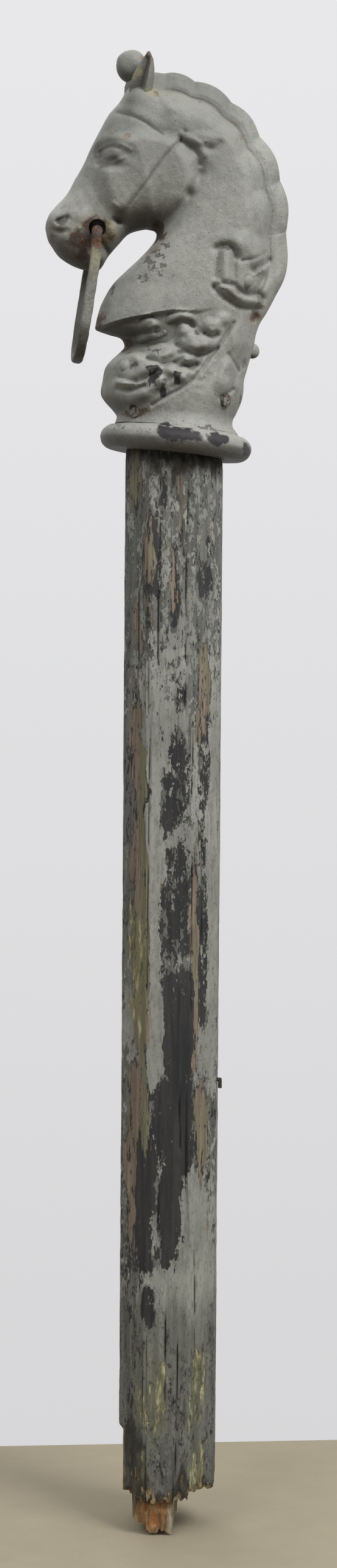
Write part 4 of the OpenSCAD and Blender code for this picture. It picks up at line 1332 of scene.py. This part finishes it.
# %% Paint on the iron
iron = Finish("grey_green_paint")
PAINT_PALE, PAINT_DEEP, PAINT_DUSTY_AND_TOPLIT = (0.288, 0.291, 0.26), (0.21, 0.213, 0.191), (0.35, 0.348, 0.308)
DULL_FILM_AND_SHADE, DARK_GRIT, PALE_SPECK = (0.135, 0.137, 0.122), (0.11, 0.11, 0.096), (0.38, 0.375, 0.335)
RUST_TINGE, HEAD_SHADE_AND_GRIME, YELLOW_STAIN = (0.185, 0.135, 0.09), (0.07, 0.065, 0.057), (0.29, 0.25, 0.125)
slow, mottled = iron.noise(38, detail=3), iron.noise(9, shift=3)
speck, grit = iron.noise(2.2, detail=3, shift=5), iron.noise(1.3, detail=3, rough=0.65, shift=11)
crust = iron.noise(5, detail=5, rough=0.7, shift=7)
color = iron.over(PAINT_DEEP, PAINT_PALE, iron.sum((slow, 0.6), (mottled, 0.4)), 0.36, 0.62)
# painted light with some dust: what faces up is paler
color = iron.over(color, PAINT_DUSTY_AND_TOPLIT, iron.mask("up"), 0.1, 0.95, 0.45)
# the upper face is darker: partly a dull film, partly painted shade
color = iron.over(color, DULL_FILM_AND_SHADE, iron.sum((iron.mask("dull"), 0.7), (slow, 0.6)), 0.3, 1.0, 0.5)
color = iron.over(color, DARK_GRIT, grit, 0.52, 0.3, 0.45)
color = iron.over(color, PALE_SPECK, speck, 0.36, 0.28, 0.35)
worn = iron.sum((iron.mask("rust"), 0.8), (crust, 0.7))
color = iron.over(color, RUST_TINGE, worn, 0.46, 0.86, 0.7)
# painted shade in the hollows and on the undersides, with some grime
shade_and_dirt = iron.sum((iron.mask("grime"), 0.8), (mottled, 0.25), (crust, 0.3))
color = iron.over(color, HEAD_SHADE_AND_GRIME, shade_and_dirt, 0.4, 1.05, 0.88)
color = iron.over(color, YELLOW_STAIN, iron.sum((iron.mask("stain"), 0.8), (mottled, 0.5)), 0.5, 0.95, 0.6)
print("head paint:", len(iron.tree.nodes), "nodes so far")

# %% [markdown]
# Pits and hair cracks break the paint. The chips show an older coat with sharp edges, dark grey at their
# borders and black inside, and rust comes through in two tones, a dark crust and an orange bloom. A soft
# change of colour could stand for a chip, but it would read as a stain, so the chips end within a hair's
# breadth and sink in the bump.

# %% Chips and rust on the iron
PIT, HAIR = (0.06, 0.056, 0.05), (0.05, 0.047, 0.042)
OLD_GREY, OLD_BLACK = (0.14, 0.138, 0.128), (0.021, 0.019, 0.02)
RUST_DARK, RUST_BROWN, RUST_BLOOM = (0.026, 0.019, 0.016), (0.066, 0.038, 0.028), (0.2, 0.095, 0.047)
color = iron.over(color, PIT, iron.noise(3, detail=2, rough=0.5, shift=15), 0.705, 0.73, 0.8)
line, patch = iron.noise(14, 0.6, 5, 0.75, 27), iron.noise(17, detail=2, shift=29)
hair = iron.times(iron.ease(line, 0.49, 0.5), iron.ease(line, 0.512, 0.502))
hair = iron.times(hair, iron.ease(patch, 0.57, 0.63))
color = iron.mix(iron.times(hair, 0.75), color, HAIR)
loss = iron.sum((iron.mask("chip"), 0.6), (iron.noise(6, 0.8, 6, 0.72, 21), 0.7), (crust, 0.4))
chip = iron.ease(loss, 0.89, 0.905)
old_coat = iron.over(OLD_GREY, OLD_BLACK, iron.sum((iron.mask("chip"), 0.8), (speck, 0.4)), 0.66, 0.86)
color = iron.mix(chip, color, old_coat)
chip_edge = iron.times(iron.ease(loss, 0.87, 0.89), iron.ease(loss, 0.935, 0.905))
color = iron.mix(iron.times(chip_edge, 0.75), color, HAIR)
rust = iron.over(RUST_DARK, RUST_BROWN, crust, 0.38, 0.62)
rust = iron.over(rust, RUST_BLOOM, iron.sum((mottled, 0.5), (speck, 0.5)), 0.56, 0.68, 0.8)
rusty = iron.ease(worn, 0.66, 0.96)
color = iron.mix(iron.times(rusty, 0.94), color, rust)
rough = iron.sum((rusty, 0.25), (slow, 0.15), (0.5, 1))
bump = iron.sum((mottled, 0.5), (speck, 0.4), (crust, 0.45), (grit, 0.25), (chip, -0.7))
paint = iron.done(color, rough, bump, 0.85)
for mesh in halves.values():
    mesh.materials.clear()
    mesh.materials.append(paint)
    mesh.polygons.foreach_set("material_index", np.zeros(len(mesh.polygons), dtype=np.int32))
print("head paint:", len(iron.tree.nodes), "nodes in all")

# %% [markdown]
# The link was painted with the head, but it is handled and wet more often: the paint is thin and dark,
# mossy under the mouth and rusty where the bar turns. It could share the head's finish, but would then
# look as fresh as the head. So it gets its own recipe, with finer noises to suit its smaller size.

# %% Paint on the link
bar = Finish("worn_link_paint")
fine, broad = bar.noise(2.4, detail=4), bar.noise(10, shift=4)
crust = bar.noise(4, detail=5, rough=0.7, shift=9)
color = bar.over((0.12, 0.118, 0.104), (0.21, 0.207, 0.181), bar.sum((broad, 0.5), (fine, 0.5)), 0.4, 0.6)
color = bar.mix(bar.times(bar.mask("moss"), 0.5), color, (0.3, 0.28, 0.15))
# painted shade on the far leg, and the darker paint of the lower end
dark = bar.sum((bar.mask("dark"), 0.6), (fine, 0.5), (broad, 0.4))
color = bar.over(color, (0.06, 0.054, 0.047), dark, 0.44, 0.95, 0.85)
color = bar.over(color, (0.085, 0.058, 0.042), crust, 0.56, 0.68, 0.75)
two_tones = bar.sum((broad, 0.5), (crust, 0.5))
rust = bar.over((0.045, 0.029, 0.024), (0.14, 0.07, 0.044), two_tones, 0.44, 0.6)
color = bar.over(color, rust, bar.sum((bar.mask("rust"), 0.75), (crust, 0.7)), 0.62, 0.85)
link.materials.append(bar.done(color, 0.62, bar.sum((fine, 0.5), (crust, 0.8), (broad, 0.4)), 0.8))
print("link paint:", len(bar.tree.nodes), "nodes")

# %% [markdown]
# The post's finish is a stack of coats over wood: black, then grey, then the green of the head. Each is
# a colour of its own, streaked along the grain. An image of flaked paint could be wrapped round the
# post, but it would repeat or stretch, and nodes stay sharp at any distance.

# %% Wood and coats of the timber
timber = Finish("flaking_paint_on_timber")
grain, streak = timber.noise(1.6, 34, 4, 0.62, 11), timber.noise(7, 14, 5, 0.62, 12)
low, high = timber.mask("low"), timber.mask("high")
SOIL_GREY, SOIL_PALE = (0.108, 0.11, 0.097), (0.19, 0.192, 0.165)
wood = timber.over((0.185, 0.142, 0.108), (0.26, 0.21, 0.16), streak, 0.4, 0.62)
wood = timber.over(wood, (0.17, 0.165, 0.1), timber.noise(18, 10, 4, 0.55, 15), 0.5, 0.62)
wood = timber.over(wood, (0.075, 0.058, 0.046), grain, 0.45, 0.72, 0.7)
black = timber.over((0.019, 0.019, 0.021), (0.042, 0.041, 0.04), streak, 0.35, 0.7)
grey = timber.over((0.093, 0.095, 0.088), (0.16, 0.16, 0.146), streak, 0.38, 0.64)
top = timber.over((0.24, 0.244, 0.218), (0.305, 0.309, 0.278), timber.noise(40, 2, 3, 0.5, 16), 0.38, 0.62)
top = timber.mix(timber.times(low, 0.85), top, timber.over(SOIL_GREY, SOIL_PALE, streak, 0.35, 0.65))
top = timber.over(top, (0.1, 0.1, 0.089), grain, 0.55, 0.7, 0.4)
top = timber.over(top, (0.125, 0.126, 0.111), timber.noise(5, 3, 6, 0.72, 23), 0.48, 0.68, 0.55)
print("coats:", len(timber.tree.nodes), "nodes so far")

# %% [markdown]
# Each coat has its own torn pattern, a sum of noises from broad to fine. One sum could serve them all,
# but then every coat would flake in the same places. Where the sum, moved up or down by the masks,
# passes a level, the coat is there. The change is almost a step, because paint flakes off with a sharp
# edge, and the bump lets that edge stand up a little. The grey and the green can only lie where the
# black below them is left.

# %% Where each coat is left
flake = timber.sum((timber.noise(75, 2.5, 2, 0.5, 1), 0.16), (timber.noise(13, 2.4, 8, 0.7), 0.38),
                   (timber.noise(4.6, 2.2, 5, 0.65, 2), 0.32), (timber.noise(1.9, 2, 3, 0.6, 3), 0.14))
second = timber.sum((timber.noise(11, 2.8, 8, 0.7, 4), 0.42), (timber.noise(3.9, 2.4, 5, 0.65, 6), 0.42),
                    (timber.noise(1.8, 2.4, 3, 0.6, 7), 0.16))
deep = timber.sum((timber.noise(14, 6, 6, 0.66, 8), 0.42), (timber.noise(3.6, 8, 5, 0.65, 9), 0.42),
                  (timber.noise(1.6, 8, 3, 0.6, 10), 0.16))
old, bare, keep = timber.mask("old"), timber.mask("bare"), timber.mask("keep")
has_black = timber.ease(timber.sum((deep, 1), (bare, -0.16), (old, 0.05)), 0.4, 0.408)
grey_left = timber.sum((second, 1), (bare, -0.1), (old, -0.15), (high, 0.03))
has_grey = timber.times(timber.ease(grey_left, 0.45, 0.458), has_black)
top_left = timber.sum((flake, 1), (bare, -0.08), (old, -0.135), (keep, 0.1), (low, -0.02), (high, -0.02),
                      (timber.mask("left"), -0.05))
has_top = timber.times(timber.ease(top_left, 0.474, 0.481), has_black)
fleck = timber.sum((timber.noise(4.2, 2.8, 5, 0.64, 20), 1), (keep, -0.06), (high, 0.03))
fleck = timber.ease(fleck, 0.632, 0.64)
color = timber.mix(has_black, wood, black)
color = timber.mix(has_grey, color, grey)
color = timber.mix(has_top, color, top)
color = timber.mix(timber.times(fleck, 0.85), color, black)
print("coats:", len(timber.tree.nodes), "nodes so far")

# %% [markdown]
# Over the coats lie lichen in yellow crusts, soil at the foot, soil and a painted shade at the top under
# the collar, and frayed fibres low down. The cracks are dark, and the broken wood of the foot is orange on
# the side that rotted and pale on the side that split. Crusts and fibres could be small meshes, but at
# this size they show as colour, so they are further layers of the same finish.

# %% Lichen, soil and broken wood
crust = timber.noise(6, 5, 6, 0.7, 17)
fine = timber.noise(1.6, 1.5, 3, 0.6, 13)
lichen, low_end = timber.mask("lichen"), timber.mask("foot")
color = timber.mix(timber.times(low_end, 0.5), color, (0.046, 0.043, 0.035))
color = timber.mix(timber.times(lichen, 0.45), color, (0.13, 0.132, 0.068))
moss = timber.over((0.17, 0.16, 0.07), (0.46, 0.43, 0.27), crust, 0.5, 0.64)
growth = timber.sum((lichen, 0.2), (crust, 0.8), (streak, 0.35))
color = timber.over(color, moss, growth, 0.75, 0.83, 0.9)
# soil, and painted shade at the top under the collar
soil = timber.sum((timber.mask("soil"), 0.45), (streak, 0.4), (crust, 0.9))
color = timber.over(color, (0.028, 0.025, 0.021), soil, 0.8, 1.15, 0.92)
fibre = timber.over((0.16, 0.09, 0.035), (0.4, 0.31, 0.17), crust, 0.45, 0.6)
frayed = timber.sum((low_end, 0.42), (timber.noise(3, 5, 5, 0.7, 22), 1))
color = timber.over(color, fibre, frayed, 0.8, 0.85, 0.9)
color = timber.over(color, (0.022, 0.02, 0.018), timber.mask("crack"), 0.4, 0.9)
split = timber.over((0.33, 0.14, 0.05), (0.3, 0.2, 0.1), timber.noise(9, 3, 4, 0.6, 18), 0.4, 0.6)
split = timber.mix(timber.mask("pale"), split, (0.47, 0.41, 0.3))
split = timber.over(split, (0.1, 0.072, 0.04), timber.noise(4, 8, 4, 0.6, 19), 0.5, 0.64, 0.8)
color = timber.over(color, split, timber.sum((timber.mask("broken"), 1), (fine, 0.5)), 0.6, 0.9)
height = timber.sum((has_top, 0.5), (fleck, -0.5), (has_grey, 0.3), (has_black, 0.3), (grain, -0.5),
                    (fine, 0.15))
post.materials.append(timber.done(color, 0.7, height, 1.1))
print("timber finish:", len(timber.tree.nodes), "nodes in all")

# %% [markdown]
# The small fittings keep their exact meshes. Three rivets are painted over with the head. The rivet at
# the mouth and the old nail have rusted, and the screws still hold some paint. They could be shaped
# again with dents, but that would gain nothing at this size, so only their finishes are made.

# %% Finishes of the fittings
FITTING_DARK, FITTING_BROWN = (0.046, 0.029, 0.023), (0.12, 0.058, 0.034)
FITTING_PAINT, FITTING_PALE = (0.2, 0.203, 0.182), (0.255, 0.258, 0.231)


def rusty_iron():
    """Brown rust with a dark crust."""
    made = Finish("rusty_iron")
    crust, fine = made.noise(3, detail=5, rough=0.7), made.noise(1, detail=3, shift=3)
    color = made.over(FITTING_DARK, FITTING_BROWN, crust, 0.4, 0.62)
    return made.done(color, 0.85, made.sum((crust, 0.7), (fine, 0.3)), 0.4)


def black_iron():
    """Old black iron with a little rust."""
    made = Finish("black_iron")
    crust = made.noise(3, detail=5, rough=0.7)
    color = made.over((0.02, 0.019, 0.018), (0.06, 0.042, 0.033), crust, 0.4, 0.65)
    return made.done(color, 0.75, crust, 0.3)


def painted_rivet():
    """The head's paint in a simpler form, for the rivets that it covers."""
    made = Finish("painted_rivet")
    mottled, speck = made.noise(9, shift=3), made.noise(2.2, detail=3, shift=5)
    color = made.over(FITTING_PAINT, FITTING_PALE, mottled, 0.38, 0.62)
    return made.done(color, 0.58, made.sum((mottled, 0.5), (speck, 0.3)), 0.4)


def part_painted_screw():
    """Rust that comes through the paint in patches."""
    made = Finish("part_painted_screw")
    crust, mottled = made.noise(3, detail=5, rough=0.7), made.noise(7, shift=3)
    color = made.over(FITTING_DARK, FITTING_BROWN, crust, 0.4, 0.62)
    color = made.over(color, FITTING_PAINT, made.sum((crust, 0.6), (mottled, 0.4)), 0.5, 0.53)
    return made.done(color, 0.7, crust, 0.4)


for finish, names in (
    (rusty_iron(), ["muzzle_rivet"]),
    (black_iron(), ["bent_nail"]),
    (part_painted_screw(), ["fixing_screws"]),
    (painted_rivet(), ["poll_rivet", "neck_rivet", "chest_rivet"]),
):
    for name in names:
        mesh = frame["nodes"][name].data
        mesh.materials.clear()
        mesh.materials.append(finish)
    print(finish.name, "on", names)

# %% [markdown]
# ## Floor
# The object stands on a pale floor, which catches its shadow. It could be a large sheet, but that would
# run off into a horizon, so it is one rectangle that ends a short way behind the post.

# %% Floor
FLOOR_SIDE, FLOOR_FRONT, FLOOR_BACK, FLOOR_Z = 1.5, -2.2, 0.3, -0.001
FLOOR_COLOR = (0.292, 0.255, 0.18)
floor_corners = [(-FLOOR_SIDE, FLOOR_FRONT, FLOOR_Z), (FLOOR_SIDE, FLOOR_FRONT, FLOOR_Z),
                 (FLOOR_SIDE, FLOOR_BACK, FLOOR_Z), (-FLOOR_SIDE, FLOOR_BACK, FLOOR_Z)]
mesh = bpy.data.meshes.new("floor")
mesh.from_pydata(floor_corners, [], [[0, 1, 2, 3]])
ground = Finish("pale_floor")
cloudy = ground.sum((ground.noise(60), 0.7), (ground.noise(5, detail=5, shift=4), 0.3))
darker = tuple(0.92 * v for v in FLOOR_COLOR)
mesh.materials.append(ground.done(ground.over(darker, FLOOR_COLOR, cloudy, 0.3, 0.7), 0.9))
floor = bpy.data.objects.new("floor", mesh)
bpy.context.scene.collection.objects.link(floor)
floor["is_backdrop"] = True
print("floor", floor.dimensions[:2])

# %% [markdown]
# ## Light
# The world is a near white to the camera and in reflections. For all other light it is a soft room,
# bright above and dim below, so that the undersides stay dark. A picture of a room could light it too,
# but a few nodes are enough, and they need no file.

# %% World
world = bpy.data.worlds.new("soft_room")
bpy.context.scene.world = world
world.use_nodes = True
nodes, links = world.node_tree.nodes, world.node_tree.links
way = nodes.new("ShaderNodeSeparateXYZ")
links.new(nodes.new("ShaderNodeTexCoord").outputs["Generated"], way.inputs[0])


def by_height(low, high, at_low, at_high):
    """A strength that goes from one value to another between two heights of the direction looked in."""
    made = nodes.new("ShaderNodeMapRange")
    links.new(way.outputs["Z"], made.inputs["Value"])
    for socket, value in (("From Min", low), ("From Max", high), ("To Min", at_low), ("To Max", at_high)):
        made.inputs[socket].default_value = value
    return made.outputs[0]


def either(a, b):
    """Adds two shares, up to 1."""
    made = nodes.new("ShaderNodeMath")
    made.operation, made.use_clamp = "ADD", True
    links.new(a, made.inputs[0])
    links.new(b, made.inputs[1])
    return made.outputs[0]


rays = nodes.new("ShaderNodeLightPath").outputs
seen = either(either(rays["Is Camera Ray"], rays["Is Glossy Ray"]), rays["Is Transmission Ray"])
strength = nodes.new("ShaderNodeMix")
links.new(seen, strength.inputs["Factor"])
links.new(by_height(-0.05, 1, 0.03, 1.15), strength.inputs["A"])
# to the camera and in reflections the white dims towards the bottom, a painted shading of the backdrop
links.new(by_height(-0.3, 0.2, 0.68, 0.82), strength.inputs["B"])
nodes["Background"].inputs["Color"].default_value = (0.985, 0.985, 1, 1)
links.new(strength.outputs["Result"], nodes["Background"].inputs["Strength"])
print("world:", len(nodes), "nodes")

# %% [markdown]
# Three large lamps give the shape: a window to the right, the room to the left, and a weak one from
# behind so that the back can be seen. A sun lamp could do it, but would draw hard shadows, and these are
# soft ones, like daylight in a room.

# %% Lamps


def lamp(name, place, aim, size, watts):
    """A round area lamp at a place, turned to a point on the post."""
    light = bpy.data.lights.new(name, "AREA")
    light.shape, light.size, light.energy = "DISK", size, watts
    made = bpy.data.objects.new(name, light)
    bpy.context.scene.collection.objects.link(made)
    made.location = place
    made.rotation_mode = "QUATERNION"
    made.rotation_quaternion = Vector(np.array(aim) - np.array(place)).to_track_quat("-Z", "Y")
    print(name, "lamp of", watts, "watts")


lamp("window", (1.5, -1.8, 3.2), (0, 0, 1.0), 1.5, 90)
lamp("room", (-1.5, -2.1, 3.0), (0, 0, 0.9), 1.8, 25)
lamp("back_room", (-0.6, 2.2, 3.2), (0, 0, 0.9), 1.8, 21)

# %% [markdown]
# ## Camera
# The view is from about three metres away and a little above the middle of the object, turned slightly
# towards the horse's face. The camera could be placed by eye. Here its axes are worked out from the
# angles, so that the view can be repeated exactly.

# %% Camera
DISTANCE, AZIMUTH, ELEVATION, ROLL = 3.0, math.radians(5.28), math.radians(2.94), math.radians(0.42)
TARGET = np.array([-0.0038, 0, 0.7891])
FOCAL_PIXELS, LONG_SIDE, SENSOR = 4677, 2576, 36
level = math.cos(ELEVATION)
forward = np.array([math.sin(AZIMUTH) * level, math.cos(AZIMUTH) * level, -math.sin(ELEVATION)])
right = np.cross(forward, (0, 0, 1))
right = right / np.linalg.norm(right)
up = np.cross(right, forward)
right, up = math.cos(ROLL) * right + math.sin(ROLL) * up, math.cos(ROLL) * up - math.sin(ROLL) * right
lens = bpy.data.cameras.new("camera")
lens.sensor_width = SENSOR
lens.lens = FOCAL_PIXELS / LONG_SIDE * SENSOR
camera = bpy.data.objects.new("camera", lens)
bpy.context.scene.collection.objects.link(camera)
eye = TARGET - forward * DISTANCE
camera.matrix_world = Matrix([*np.stack([right, up, -forward, eye], -1).tolist(), (0, 0, 0, 1)])
bpy.context.scene.camera = camera
bpy.context.scene.view_settings.view_transform = "Standard"
print("camera at", [round(v, 3) for v in eye])

# %% [markdown]
# ## Size
# The finished pieces stay inside the box of the exact parts, so that a measure taken from one model
# holds for the other. The fit could be judged by eye, but two boxes written down can be compared.

# %% Finish
low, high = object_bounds()
print("visual size in mm:", [round(1000 * (b - a), 1) for a, b in zip(low, high)])
